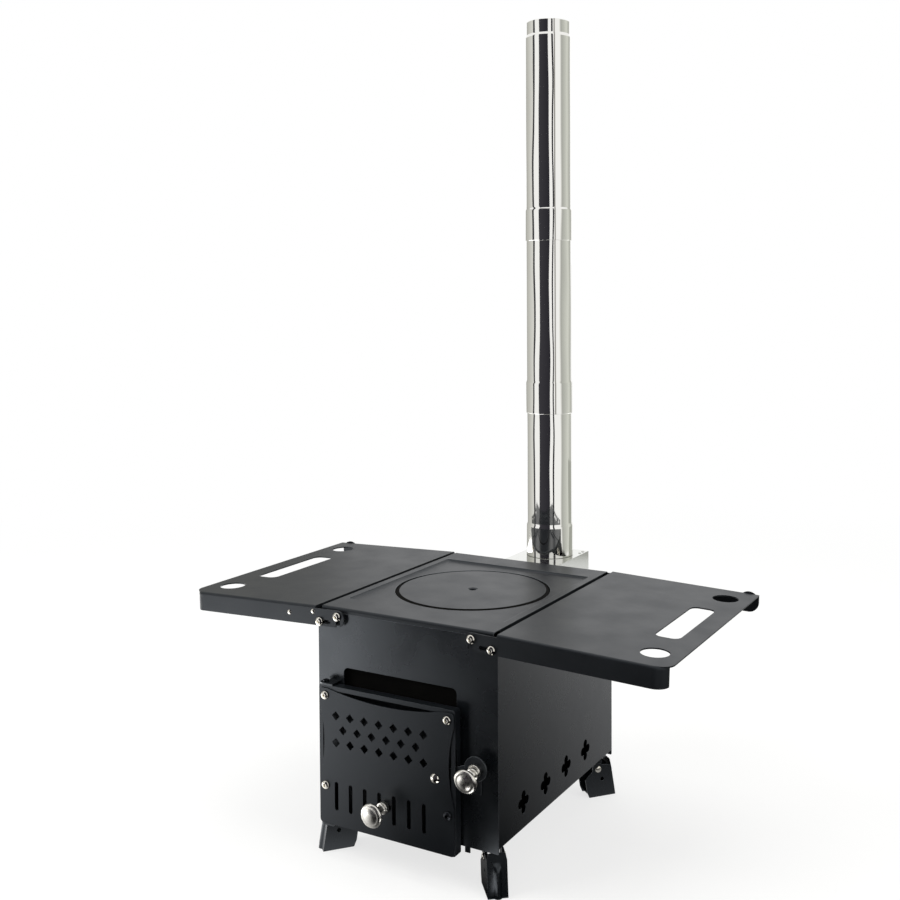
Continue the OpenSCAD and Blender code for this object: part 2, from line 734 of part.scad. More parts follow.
// Ear over the panel, with the pivot hole and its slot, and the guide's notch.
module shelf_ear() difference() {
    union() {
        span([pivot_x - guide_dx, 0, body_h - flange_h],
            [shelf_x0, sheet, body_h - bend_r]);
        bar_y(pivot_x - guide_dx, body_h - (flange_h + bend_r) / 2, 0, sheet,
            (flange_h - bend_r) / 2);
    }
    bar_y(pivot_x, pivot_z, -1, sheet + 1, shelf_pin_r + running);
    upright(-1, sheet + 1) round_rect([pivot_x - ear_slot_l, pivot_z - ear_slot_w / 2],
        [pivot_x, pivot_z + ear_slot_w / 2], ear_slot_w / 2 - 0.01);
    bar_y(pivot_x - guide_dx, pivot_z + guide_dz, -1, sheet + 1, shelf_pin_r + near);
    translate([pivot_x, sheet + 1, pivot_z]) rotate([90, 0, 0])
        linear_extrude(sheet + 2) intersection() {
            difference() {
                circle(guide_r + shelf_pin_r + near, $fn = 96);
                circle(guide_r - shelf_pin_r - near, $fn = 96);
            }
            polygon([[0, 0], [-60, 60 * tan(guide_a)], [-60, -60]]);
        }
}

// The shelf hangs on its pivot screws and droops a little.
module shelf_right() color("#6b6f73") place()
    translate([pivot_x, 0, pivot_z]) rotate([0, shelf_droop, 0])
        translate([-pivot_x, 0, -pivot_z]) shelf_level();
module shelf_left() color("#6b6f73") place() mirror([1, 0, 0])
    translate([pivot_x, 0, pivot_z]) rotate([0, shelf_droop, 0])
        translate([-pivot_x, 0, -pivot_z]) shelf_level();

// Shouldered screw through an ear and a panel, drawn at the front panel.
module shelf_screw(x, z) {
    shoulder_r = shelf_pin_r + 2.2;
    bar_y(x, z, shelf_y0 - near, sheet + nut_l, shelf_pin_r);
    bar_y(x, z, -shelf_stand + near, 0, shoulder_r);
    bar_y(x, z, sheet, sheet + nut_l, nut_r);
    translate([x, shelf_y0 - near, z]) button_head(5);
}

// Front and back alike.
module both_ends()
    for (s = [0, 1]) translate([0, s * body_d, 0]) mirror([0, s, 0]) children();

module shelf_pivot_screws() color("#c9cdd2") place() both_ends()
    for (s = [-1, 1]) shelf_screw(s * pivot_x, pivot_z);
module shelf_guide_screws() color("#c9cdd2") place() both_ends()
    for (s = [-1, 1]) shelf_screw(s * (pivot_x - guide_dx), pivot_z + guide_dz);

// ------------------------------------------------------------------- legs

// Frame of one leg: the pivot is at [0, 0, 0] and +X points outward.
module leg_frame(sx, sy)
    translate([sx * (half_w - leg_pin_in),
            sy < 0 ? leg_pin_back : body_d - leg_pin_back, leg_pin_z])
        rotate(atan2(sy * sin(leg_turn), sx * cos(leg_turn))) children();

// Channel leg: ribbed web outside, tapered side plates and a foot turned in.
module leg_channel() {
    foot_z = -ground_gap - leg_pin_z;
    foot_x = leg_web / cos(leg_splay) - foot_z * tan(leg_splay);
    w = leg_w / 2;
    back = leg_depth - leg_web;
    rib_r = 2.6;
    rib_out = 1.3;
    rib_top = -6;
    difference() {
        intersection() {
            rotate([0, -leg_splay, 0]) {
                span([leg_web - leg_sheet, -w, foot_z - 10], [leg_web, w, leg_web_top]);
                translate([leg_web - rib_r + rib_out, 0, foot_z - 10])
                    cylinder(r = rib_r, h = rib_top - foot_z + 10);
                for (s = [-w + leg_sheet, w]) translate([0, s, 0]) rotate([90, 0, 0])
                    linear_extrude(leg_sheet) {
                        circle(leg_top_r);
                        polygon([[1, leg_top_r - 1.2], [leg_web, leg_web_top],
                            [leg_web, foot_z - 10], [5 - back, foot_z - 10],
                            [-back, foot_z + 10], [-back, -9], [1.2 - leg_top_r, 0]]);
                    }
            }
            span([-40, -w - 1, foot_z], [40, w + 1, -skirt - near - leg_pin_z]);
        }
        translate([0, w + 1, 0]) rotate([90, 0, 0])
            cylinder(r = leg_pin_r + running, h = leg_w + 2, $fn = 32);
        translate([5.5, w + 1, -12.5]) rotate([90, 0, 0])
            cylinder(r = 2.5, h = leg_w + 2, $fn = 24);
    }
    span([foot_x - leg_depth + 4, -w + leg_sheet / 2, foot_z],
        [foot_x - leg_sheet / 2, w - leg_sheet / 2, foot_z + leg_sheet]);
}

module leg(sx, sy) color("#3a3f45") place() leg_frame(sx, sy) leg_channel();
module leg_front_left() leg(-1, -1);
module leg_front_right() leg(1, -1);
module leg_back_left() leg(-1, 1);
module leg_back_right() leg(1, 1);
module at_corners() for (sx = [-1, 1], sy = [-1, 1]) leg_frame(sx, sy) children();

// Channel brackets under the bottom that carry the legs.
module leg_brackets() color("#2b2c2d") place() at_corners() {
    w = leg_w / 2 - leg_sheet - near;
    cheek = 6;
    top = -leg_pin_z;
    span([-cheek, -w, top - leg_sheet], [cheek, w, top]);
    for (s = [-w + leg_sheet, w]) translate([0, s, 0]) rotate([90, 0, 0])
        linear_extrude(leg_sheet) difference() {
            union() {
                circle(cheek);
                translate([-cheek, 0]) square([2 * cheek, top - leg_sheet]);
            }
            circle(leg_pin_r);
        }
}

// Rivets that the legs turn on.
module leg_rivets() color("#c9cdd2") place() at_corners() rotate([90, 0, 0]) {
    head = leg_w / 2 + 0.2;
    translate([0, 0, -head]) cylinder(r = leg_pin_r, h = 2 * head, $fn = 32);
    for (s = [0, 1]) mirror([0, 0, s]) translate([0, 0, head])
        rotate_extrude($fn = 32) dome_2d(4, 1.8, 0.5);
}

// -------------------------------------------------------------- smoke box

// Stainless box behind the body, open to it, with flanges and a flue hole.
module smoke_box() color("#b9bdc1") place() difference() {
    w = smoke_w / 2;
    z0 = smoke_top - smoke_h;
    y1 = body_d + smoke_d;
    union() {
        span([-w, body_d, z0], [w, y1, smoke_top]);
        span([-w - 10, body_d, z0 - 8], [w + 10, body_d + 1.2, smoke_top - 6]);
    }
    span([-w + 1.2, body_d - 1, z0 + 1.2], [w - 1.2, y1 - 1.2, smoke_top - 1.2]);
    translate([0, flue_y, smoke_top - 3])
        cylinder(r = pipe_d / 2 - 2.5, h = 6, $fn = 64);
}

// Blind rivets along the smoke box's rear edge and its flange.
module smoke_box_rivets() color("#8f9499") place() {
    for (s = [-1, 1], y = [body_d + smoke_d - 8, body_d + smoke_d - 18])
        translate([s * (smoke_w / 2 - 5), y, smoke_top])
            cylinder(r1 = 2.2, r2 = 1.4, h = 1, $fn = 16);
    for (s = [-1, 1], z = [smoke_top - smoke_h + 8, smoke_top - 18])
        bar_y(s * (smoke_w / 2 + 5), z, body_d + 1.2, body_d + 2.2, 2.2);
}

// Collar on the smoke box that the chimney plugs over.
module flue_collar() color("#aeb2b6") place() translate([0, flue_y, smoke_top - 1.2])
    difference() {
        union() {
            cylinder(r = pipe_d / 2 - 2.5, h = bell_l - 4, $fn = 64);
            translate([0, 0, 1.2]) cylinder(r = pipe_d / 2, h = bell_l - 6, $fn = 64);
        }
        translate([0, 0, -1]) cylinder(r = pipe_d / 2 - 4, h = bell_l, $fn = 64);
    }

// ---------------------------------------------------------------- chimney

// Pipe with a bell below and a reduced end above.
module pipe(length) {
    r = pipe_d / 2;
    cone = 2;
    rotate_extrude($fn = 96) {
        difference() {
            union() {
                square([bell_r, bell_l]);
                polygon([[0, bell_l], [bell_r, bell_l], [r, bell_l + cone], [0, bell_l + cone]]);
                square([r, length - spigot_l - cone]);
                polygon([[0, 0], [r, 0], [r, length - spigot_l - cone],
                    [spigot_r, length - spigot_l], [0, length - spigot_l]]);
                square([spigot_r, length]);
            }
            translate([0, -1]) square([r + bell_gap, bell_l + 1]);
            square([r - pipe_wall, length - spigot_l - 2 * cone]);
            square([spigot_r - pipe_wall, length + 1]);
        }
    }
}
module chimney_lower() color("#d5d7da") place() translate([0, flue_y, z_low]) pipe(pipe_low_l);
module chimney_middle() color("#d5d7da") place() translate([0, flue_y, z_mid]) pipe(pipe_l);
module chimney_upper() color("#d5d7da") place() translate([0, flue_y, z_up]) pipe(pipe_l);

body_shell();
front_panel();
back_panel();
air_wash_frame();
cooking_top();
lid_seat_ring();
round_lid();
fire_grate();
liner_left();
liner_right();
door_pan();
door_front_plate();
door_screws();
door_hinge_pin();
hinge_bracket_upper();
hinge_bracket_lower();
air_slider();
air_slider_rails();
air_knob();
latch_bar();
latch_plate();
latch_rivet();
latch_knob();
latch_keeper();
shelf_left();
shelf_right();
shelf_pivot_screws();
shelf_guide_screws();
leg_front_left();
leg_front_right();
leg_back_left();
leg_back_right();
leg_brackets();
leg_rivets();
smoke_box();
smoke_box_rivets();
flue_collar();
chimney_lower();
chimney_middle();
chimney_upper();
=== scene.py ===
# %% [markdown]
# # A folding tent stove
# This lesson dresses a stove whose solids already exist. The solids come from
# a CAD program as a fixed frame, in metres, and the script gives them
# finishes, rounded edges, turned parts and small fasteners, and then a
# studio to stand in. Every piece is named for what it is on the real stove.

import json
import math
from collections import namedtuple

import bmesh
import bpy
from mathutils import Matrix, Vector

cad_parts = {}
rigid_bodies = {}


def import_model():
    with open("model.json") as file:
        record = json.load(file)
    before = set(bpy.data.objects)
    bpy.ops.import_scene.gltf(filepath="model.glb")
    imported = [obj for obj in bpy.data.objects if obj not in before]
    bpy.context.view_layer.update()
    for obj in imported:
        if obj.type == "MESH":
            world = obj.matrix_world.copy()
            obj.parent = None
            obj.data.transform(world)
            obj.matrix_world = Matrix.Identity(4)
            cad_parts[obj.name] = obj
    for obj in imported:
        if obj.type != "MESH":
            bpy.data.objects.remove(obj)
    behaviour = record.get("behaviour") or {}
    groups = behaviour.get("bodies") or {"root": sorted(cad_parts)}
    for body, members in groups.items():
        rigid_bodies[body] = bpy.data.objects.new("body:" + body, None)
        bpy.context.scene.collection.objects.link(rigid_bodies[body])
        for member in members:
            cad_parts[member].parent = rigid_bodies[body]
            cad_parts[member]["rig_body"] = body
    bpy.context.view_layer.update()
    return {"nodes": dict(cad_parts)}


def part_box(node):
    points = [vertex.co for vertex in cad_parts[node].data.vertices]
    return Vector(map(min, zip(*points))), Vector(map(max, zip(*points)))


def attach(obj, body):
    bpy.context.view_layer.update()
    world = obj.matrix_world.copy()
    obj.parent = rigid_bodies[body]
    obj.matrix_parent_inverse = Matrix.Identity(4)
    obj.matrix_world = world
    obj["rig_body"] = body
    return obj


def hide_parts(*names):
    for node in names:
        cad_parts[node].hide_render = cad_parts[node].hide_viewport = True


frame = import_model()


# %% [markdown]
# ## Small helpers
# A material and a Geometry Nodes tree are both graphs: nodes, their settings,
# and links between sockets. One function covers them all. It adds a node,
# sets its settings, and for each input either stores a value or draws a link,
# depending on whether it is given a number or another node's output. Three
# more put an object in the scene, store a shape that was built point by point,
# and start a material.


# %% Nodes, objects and meshes
def node(tree, kind, inputs=None, **settings):
    """Add one node with its settings; inputs maps a socket to a value or link."""
    made = tree.nodes.new(kind)
    made.location = (220 * (len(tree.nodes) % 12), -260 * (len(tree.nodes) // 12))
    for name, value in settings.items():
        setattr(made, name, value)
    for socket, value in (inputs or {}).items():
        if isinstance(value, bpy.types.NodeSocket):
            tree.links.new(value, made.inputs[socket])
        else:
            made.inputs[socket].default_value = value
    return made


def put(name, data):
    """A new object in the scene, at the origin."""
    made = bpy.data.objects.new(name, data)
    bpy.context.scene.collection.objects.link(made)
    return made


def mesh_from(shape, name):
    """Store an edited shape as a new mesh and free the shape."""
    mesh = bpy.data.meshes.new(name)
    shape.to_mesh(mesh)
    shape.free()
    return mesh


def new_material(name):
    """A fresh material, with its node tree and its main shader."""
    material = bpy.data.materials.new(name)
    material.use_nodes = True
    return material, material.node_tree, material.node_tree.nodes["Principled BSDF"]


print("helpers: node, put, mesh_from, new_material")


# %% Units and colours
def colour(hex_value):
    """An sRGB hex colour as the linear RGBA that a shader works with."""
    channels = [int(hex_value[i : i + 2], 16) / 255 for i in (1, 3, 5)]
    return [c / 12.92 if c <= 0.04045 else ((c + 0.055) / 1.055) ** 2.4 for c in channels] + [1]


def every(millimetres):
    """Texture scale of a pattern that repeats about every so many millimetres."""
    return 1000 / millimetres


MM = 0.001
print("mid grey #808080 is", round(colour("#808080")[0], 3), "in linear light")

# %% [markdown]
# ## Places on the stove
# Pieces are placed in the stove body's own frame, in millimetres: X runs to the
# right, Y runs back from the front panel's face, and Z runs up from the body's
# underside. The sizes that pieces hang on could be typed in, but here they are
# read from the solids, so a piece keeps its seat when a solid's size changes.

# %% Sizes read from the frame
Point = namedtuple("Point", "x y z")
FRONT_FACE = round(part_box("front_panel")[0].y / MM, 2)
UNDERSIDE = round(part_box("body_shell")[0].z / MM, 2)


def on_stove(point_mm):
    """A point of the body's own frame, in metres and in the frame of all solids."""
    return (point_mm[0] * MM, (point_mm[1] + FRONT_FACE) * MM, (point_mm[2] + UNDERSIDE) * MM)


def extent(name):
    """A solid's lowest and highest corner in the body's own frame, in millimetres."""
    return [
        Point(round(at.x / MM, 2), round(at.y / MM - FRONT_FACE, 2), round(at.z / MM - UNDERSIDE, 2))
        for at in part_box(name)
    ]


def body_of(name):
    """The moving body that a solid of the frame belongs to."""
    return frame["nodes"][name]["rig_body"]


HALF_WIDTH = extent("front_panel")[1].x
DEPTH = extent("back_panel")[1].y
HEIGHT = extent("cooking_top")[1].z
print("stove body:", 2 * HALF_WIDTH, "x", DEPTH, "x", HEIGHT, "mm, held", UNDERSIDE, "mm off the ground")

# %% [markdown]
# ## The camera
# The stove is seen from its front right, a little above the cooking top. A
# camera is placed by a position and three turns: around the vertical, down,
# and a small roll. It could look down at the stove, but then the uprights
# would lean. So it looks almost level and its lens is shifted down, as on a
# view camera, which keeps uprights upright.

# %% Camera
CAMERA_AT = (0.67695, -1.20153, 0.62922)  # metres
CAMERA_AROUND, CAMERA_DOWN, CAMERA_ROLL = 29.642, 2.063, -0.307  # degrees
camera_data = bpy.data.cameras.new("camera")
camera_data.sensor_width = 36
camera_data.lens = 46.073
camera_data.shift_x = -0.0293
camera_data.shift_y = -0.1298
camera = put("camera", camera_data)
camera.matrix_world = (
    Matrix.Translation(CAMERA_AT)
    @ Matrix.Rotation(math.radians(CAMERA_AROUND), 4, "Z")
    @ Matrix.Rotation(math.radians(90 - CAMERA_DOWN), 4, "X")
    @ Matrix.Rotation(math.radians(CAMERA_ROLL), 4, "Z")
)
bpy.context.scene.camera = camera
print("camera at", [round(value, 3) for value in camera.matrix_world.translation])

# %% [markdown]
# ## Stove paint
# The body is sheet steel sprayed with heat-resistant silicone paint. It dries
# satin black: hardly any colour of its own, and a soft, faintly cool sheen
# that grows towards grazing angles, which is why the flat top looks so much
# lighter than the walls. A dielectric shader does this by itself. One colour
# and one gloss all over would look like plastic, so noise moves both: the
# spray leaves faint cloudy patches and a fine sandy grain. The grain is really
# about 0.3 mm and is drawn at about 1 mm, so that it shows from where the
# camera is. The top, the shelves and the door are a little greyer and more
# matt than the body. Where paint thins on an edge, the steel lightens it, and
# the edge paint is made lighter still as a painted highlight along the edges.

# %% Satin stove paint
COOL_SHEEN = colour("#eef6ff")
GRAIN_DEPTH = 0.03 * MM
CLOUD_MM = 38


def stove_paint(name, dark, light, gloss, grain_mm=1.1, ior=1.6):
    """Sprayed heat-resistant paint: sandy grain, cloudy gloss, two close greys."""
    material, tree, shader = new_material(name)
    shader.inputs["IOR"].default_value = ior
    shader.inputs["Specular Tint"].default_value = COOL_SHEEN
    place = node(tree, "ShaderNodeTexCoord").outputs["Object"]
    cloud = node(tree, "ShaderNodeTexNoise", {"Vector": place, "Scale": every(CLOUD_MM), "Detail": 3.0})
    cloud = cloud.outputs["Fac"]
    greys = {"Factor": cloud, "A": colour(dark), "B": colour(light)}
    tint = node(tree, "ShaderNodeMix", greys, data_type="RGBA")
    tree.links.new(tint.outputs["Result"], shader.inputs["Base Color"])
    patches = {"From Min": 0.3, "From Max": 0.7, "To Min": gloss - 0.03, "To Max": gloss + 0.04}
    matt = node(tree, "ShaderNodeMapRange", {"Value": cloud} | patches)
    tree.links.new(matt.outputs["Result"], shader.inputs["Roughness"])
    grain = node(tree, "ShaderNodeTexNoise", {"Vector": place, "Scale": every(grain_mm), "Detail": 2.0})
    sandy = {"Height": grain.outputs["Fac"], "Strength": 0.5, "Distance": GRAIN_DEPTH}
    bump = node(tree, "ShaderNodeBump", sandy)
    tree.links.new(bump.outputs["Normal"], shader.inputs["Normal"])
    return material


body_paint = stove_paint("satin_stove_paint", "#090b0d", "#101316", 0.28)
top_paint = stove_paint("satin_cooktop_paint", "#131517", "#1b1d20", 0.42, grain_mm=0.9, ior=1.45)
plate_paint = stove_paint("satin_door_paint", "#101215", "#181b1e", 0.34, ior=1.45)
# Edge paint: thin paint, and lighter still as a painted highlight on the bevels
edge_paint_and_highlight = stove_paint("thin_edge_paint_and_painted_highlight", "#3c3f42", "#55585b", 0.3, grain_mm=2.5)
print("paints:", body_paint.name, top_paint.name, plate_paint.name, edge_paint_and_highlight.name)

# %% [markdown]
# ## Sooty steel and painted shade
# The grate, the heat shields, the air slider, the lid's seat and the frame
# behind the door mouth get the same primer but no top coat, and the fire dulls
# them. The body's paint could be made duller for them, but it would still
# shine at a low angle, and soot doesn't. So they get a finish of their own:
# brownish, matt, with hardly any reflection, and blotchy at the size of a
# thumb. It is kept near black partly as painted shade: seen through the door
# mouth, it stands for the dark inside of the stove.

# %% Sooty inner steel and painted shade
BLOTCH_MM = 18
FLAKE_DEPTH = 0.2 * MM
soot_and_shade_steel, tree, shader = new_material("sooty_primed_steel_and_painted_shade")
place = node(tree, "ShaderNodeTexCoord").outputs["Object"]
blotch = node(tree, "ShaderNodeTexNoise", {"Vector": place, "Scale": every(BLOTCH_MM), "Detail": 5.0})
# Near-black browns: soot, and painted shade where the inside shows through the door mouth
browns = {"Factor": blotch.outputs["Fac"], "A": colour("#070707"), "B": colour("#12110f")}
soot = node(tree, "ShaderNodeMix", browns, data_type="RGBA")
tree.links.new(soot.outputs["Result"], shader.inputs["Base Color"])
flaky = {"Height": blotch.outputs["Fac"], "Strength": 0.4, "Distance": FLAKE_DEPTH}
flake = node(tree, "ShaderNodeBump", flaky)
tree.links.new(flake.outputs["Normal"], shader.inputs["Normal"])
shader.inputs["Roughness"].default_value = 0.85
shader.inputs["Specular IOR Level"].default_value = 0.08
print("soot:", soot_and_shade_steel.name)

# %% [markdown]
# ## Bright metals
# The metals share one recipe and differ in colour, gloss and the marks of
# their making. The pipes are rolled from mirror-polished stainless sheet. More
# roughness would only blur what they reflect, so fine waves along the pipe
# stretch it instead, and broad ones make it sway where the rolls pressed
# unevenly. The smoke box and its rivets are plain mill-finish stainless. Other
# rivets and the screws are turned and nickel-plated, a warmer white, and the
# knobs have such a plate on a satin ground. The hinge pin is blackened, and one
# door screw is given the same dark finish. A metal keeps the usual IOR: its
# colour and roughness are all it takes.


# %% Bright metals
SWAY_MM, SWAY_LENGTH_MM = 24, 85
POLISHED_STEEL = "#efeeea"


def bright_metal(name, shade, roughness, wave_mm, wave_length_mm, wave_depth, sway_depth=0.0):
    """Polished or brushed metal with fine waves that run along Z, and broad ones if it was rolled."""
    material, tree, shader = new_material(name)
    shader.inputs["Base Color"].default_value = colour(shade)
    shader.inputs["Metallic"].default_value = 1.0
    place = node(tree, "ShaderNodeTexCoord").outputs["Object"]
    wave_scale = (every(wave_mm), every(wave_mm), every(wave_length_mm))
    drawn = node(tree, "ShaderNodeMapping", {"Vector": place, "Scale": wave_scale}).outputs["Vector"]
    waves = node(tree, "ShaderNodeTexNoise", {"Vector": drawn, "Scale": 1.0, "Detail": 2.0}).outputs["Fac"]
    uneven = {"Value": waves, "To Min": roughness * 0.7, "To Max": roughness * 1.3}
    haze = node(tree, "ShaderNodeMapRange", uneven)
    tree.links.new(haze.outputs["Result"], shader.inputs["Roughness"])
    bump = node(tree, "ShaderNodeBump", {"Height": waves, "Strength": 1.0, "Distance": wave_depth * MM})
    if sway_depth:
        sway_scale = (every(SWAY_MM), every(SWAY_MM), every(SWAY_LENGTH_MM))
        drawn = node(tree, "ShaderNodeMapping", {"Vector": place, "Scale": sway_scale}).outputs["Vector"]
        sway = node(tree, "ShaderNodeTexNoise", {"Vector": drawn, "Scale": 1.0, "Detail": 0.0}).outputs["Fac"]
        broad = {"Height": sway, "Normal": bump.outputs["Normal"], "Distance": sway_depth * MM}
        bump = node(tree, "ShaderNodeBump", broad | {"Strength": 1.0})
    tree.links.new(bump.outputs["Normal"], shader.inputs["Normal"])
    return material


mirror_stainless = bright_metal("mirror_stainless", POLISHED_STEEL, 0.05, 5, 400, 0.01, sway_depth=1.5)
mill_stainless = bright_metal("mill_finish_stainless", "#cbccc8", 0.13, 0.8, 30, 0.006)
nickel_plate = bright_metal("nickel_plate", "#e6e2d8", 0.12, 3, 3, 0.008)
satin_nickel = bright_metal("satin_nickel_plate", "#fbf8f0", 0.3, 3, 3, 0.008)
oxide_steel = bright_metal("black_oxide_steel", "#3a3c40", 0.35, 2, 2, 0.02)
metals = (mirror_stainless, mill_stainless, nickel_plate, satin_nickel, oxide_steel)
print("metals:", [metal.name for metal in metals])

# %% [markdown]
# ## The weld along a pipe
# A pipe is a sheet rolled round and welded edge to edge. Grinding and
# polishing leave a hairline where the metal is a little darker. A thin strip
# of mesh could stand for it, but it is flush on the real pipe, so it is drawn
# on the pipe's own UV map, whose first coordinate is the distance round the
# pipe in metres, zero at the weld.

# %% Welded pipe finish
WELD_CORE, WELD_EDGE = 0.6 * MM, 2.2 * MM
welded_stainless = mirror_stainless.copy()
welded_stainless.name = "welded_mirror_stainless"
tree = welded_stainless.node_tree
unrolled = node(tree, "ShaderNodeUVMap", uv_map="UVMap").outputs["UV"]
around = node(tree, "ShaderNodeSeparateXYZ", {0: unrolled})
near_weld = {"From Min": WELD_CORE, "From Max": WELD_EDGE, "To Min": 1.0, "To Max": 0.0}
hairline = node(tree, "ShaderNodeMapRange", {"Value": around.outputs["X"]} | near_weld)
ground = {"Factor": hairline.outputs["Result"], "A": colour(POLISHED_STEEL), "B": colour("#6a665e")}
steel = node(tree, "ShaderNodeMix", ground, data_type="RGBA")
tree.links.new(steel.outputs["Result"], tree.nodes["Principled BSDF"].inputs["Base Color"])
print("weld line:", round(WELD_EDGE / MM, 1), "mm wide on", welded_stainless.name)

# %% [markdown]
# ## Finishes for the frame's own solids
# Solids that need nothing but a finish keep their mesh. Each gets the material
# that its real part has, in its first material slot.

# %% Assign finishes
finish_of = {
    body_paint: [
        "body_shell", "front_panel", "back_panel", "hinge_bracket_upper", "hinge_bracket_lower",
        "leg_front_left", "leg_front_right", "leg_back_left", "leg_back_right",
        "leg_brackets", "latch_keeper",
    ],
    top_paint: ["cooking_top", "round_lid", "shelf_left", "shelf_right"],
    plate_paint: ["door_pan", "door_front_plate", "latch_bar", "latch_plate"],
    # Sooty finish, near black partly as painted shade
    soot_and_shade_steel: [
        "air_wash_frame", "lid_seat_ring", "fire_grate", "liner_left", "liner_right",
        "air_slider", "air_slider_rails",
    ],
    nickel_plate: [
        "door_screws", "air_knob", "latch_rivet", "latch_knob",
        "shelf_pivot_screws", "shelf_guide_screws", "leg_rivets",
    ],
    oxide_steel: ["door_hinge_pin"],
    mill_stainless: ["smoke_box", "smoke_box_rivets", "flue_collar"],
    mirror_stainless: ["chimney_lower", "chimney_middle", "chimney_upper"],
}
for material, names in finish_of.items():
    for name in names:
        mesh = frame["nodes"][name].data
        mesh.materials.clear()
        mesh.materials.append(material)
print("finished solids:", sum(len(names) for names in finish_of.values()), "of", len(frame["nodes"]))

# %% [markdown]
# ## Softened sheet edges
# A laser-cut sheet has sharp edges, but sprayed paint pulls into a small
# radius on them, and that radius is what catches the light as a thin line.
# The solids have mathematically sharp edges. They could be rounded in CAD, but
# every later step would then carry thousands of tiny faces. So each visible
# sheet part gets a copy, whose doubled points are merged and whose flat
# triangles are joined again, and a Bevel modifier rounds it. The rounded faces
# take the edge paint, unless the sheet is bare steel: thin paint, made lighter
# as a painted highlight. The copy stands for its solid.


# %% Edge softener
SAME_POINT = 1e-6  # metres
BEVEL_STEPS = 2


def plain_mesh(piece):
    """Turn the evaluated object into a plain mesh and drop its modifiers."""
    piece_mesh = bpy.data.meshes.new_from_object(piece.evaluated_get(bpy.context.evaluated_depsgraph_get()))
    piece.modifiers.clear()
    piece.data = piece_mesh


def soften(name, radius_mm):
    """A copy of a solid with small rounded edges, which replaces it."""
    solid = frame["nodes"][name]
    shape = bmesh.new()
    shape.from_mesh(solid.data)
    bmesh.ops.remove_doubles(shape, verts=shape.verts, dist=SAME_POINT)
    bmesh.ops.dissolve_limit(shape, angle_limit=math.radians(0.3), verts=shape.verts, edges=shape.edges)
    mesh = mesh_from(shape, name + "_soft")
    finish = solid.data.materials[0]
    mesh.materials.append(finish)
    # The second slot is the lighter edge paint: thin paint plus a painted highlight
    mesh.materials.append(finish if finish == mill_stainless else edge_paint_and_highlight)
    mesh.shade_smooth()
    mesh.set_sharp_from_angle(angle=math.radians(32))
    piece = put(name + "_soft", mesh)
    bevel = piece.modifiers.new("edge", "BEVEL")
    bevel.width = radius_mm * MM
    bevel.segments = BEVEL_STEPS
    bevel.limit_method = "ANGLE"
    bevel.angle_limit = math.radians(40)
    bevel.material = 1
    even = piece.modifiers.new("even shading", "WEIGHTED_NORMAL")
    even.weight = 100
    even.keep_sharp = True
    plain_mesh(piece)
    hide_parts(name)
    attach(piece, solid["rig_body"])
    return piece


# %% Soften the sheet parts
edge_radius = {
    "cooking_top": 0.5, "shelf_left": 0.4, "shelf_right": 0.4,
    "front_panel": 0.35, "body_shell": 0.4, "back_panel": 0.4, "door_pan": 0.4, "door_front_plate": 0.35,
    "latch_bar": 0.3, "latch_plate": 0.3, "latch_keeper": 0.3, "smoke_box": 0.4,
    "leg_front_left": 0.35, "leg_front_right": 0.35, "leg_back_left": 0.35, "leg_back_right": 0.35,
}
for name, radius in edge_radius.items():
    piece = soften(name, radius)
    print(piece.name, len(piece.data.polygons), "faces")

# %% [markdown]
# ## Turned and rolled parts
# Knobs, screws, rivets, the lid and the pipes all follow one rule: a profile
# goes once round an axis. Each could be spun by hand, but one Geometry Nodes
# tree makes them all. A flat grid has one column of points for each step round
# the axis and one row for each point of the profile, and every point is moved
# to its place on the turned part. Where the profile is marked as hexagonal,
# the circle becomes a hexagon, which gives nuts and socket heads. The part is
# then set on each given place, facing the way that the place says.

# %% Tree for turned parts: its inputs
turned = bpy.data.node_groups.new("turned_part", "GeometryNodeTree")
for title, kind in (
    ("Geometry", "NodeSocketGeometry"), ("Profile", "NodeSocketObject"), ("Segments", "NodeSocketInt"),
    ("Turn", "NodeSocketFloat"), ("Material", "NodeSocketMaterial"),
):
    turned.interface.new_socket(title, in_out="INPUT", socket_type=kind)
turned.interface.new_socket("Geometry", in_out="OUTPUT", socket_type="NodeSocketGeometry")
given = node(turned, "NodeGroupInput").outputs
profile = node(turned, "GeometryNodeObjectInfo", {"Object": given["Profile"]}).outputs["Geometry"]
rows = node(turned, "GeometryNodeAttributeDomainSize", {"Geometry": profile}).outputs["Point Count"]
columns = node(turned, "ShaderNodeMath", {0: given["Segments"], 1: 1.0}).outputs[0]
grid = node(turned, "GeometryNodeMeshGrid", {"Vertices X": columns, "Vertices Y": rows}).outputs["Mesh"]
index = node(turned, "GeometryNodeInputIndex").outputs[0]
print("turned part: inputs", [item.name for item in turned.interface.items_tree if item.in_out == "INPUT"])

# %% Tree for turned parts: the profile's point for each point of the grid
share = node(turned, "ShaderNodeMath", {0: index, 1: rows}, operation="DIVIDE").outputs[0]
column = node(turned, "ShaderNodeMath", {0: share}, operation="FLOOR").outputs[0]
row = node(turned, "ShaderNodeMath", {0: index, 1: rows}, operation="MODULO").outputs[0]
spot = node(turned, "GeometryNodeInputPosition").outputs[0]
looked_up = {"Geometry": profile, "Value": spot, "Index": row}
sample = node(turned, "GeometryNodeSampleIndex", looked_up, data_type="FLOAT_VECTOR")
outline = node(turned, "ShaderNodeSeparateXYZ", {0: sample.outputs["Value"]}).outputs
marked = node(turned, "GeometryNodeInputNamedAttribute", {"Name": "hexagon"}).outputs["Attribute"]
looked_up = {"Geometry": profile, "Value": marked, "Index": row}
hexagon = node(turned, "GeometryNodeSampleIndex", looked_up).outputs[0]
print("profile lookup:", len(turned.nodes), "nodes so far")

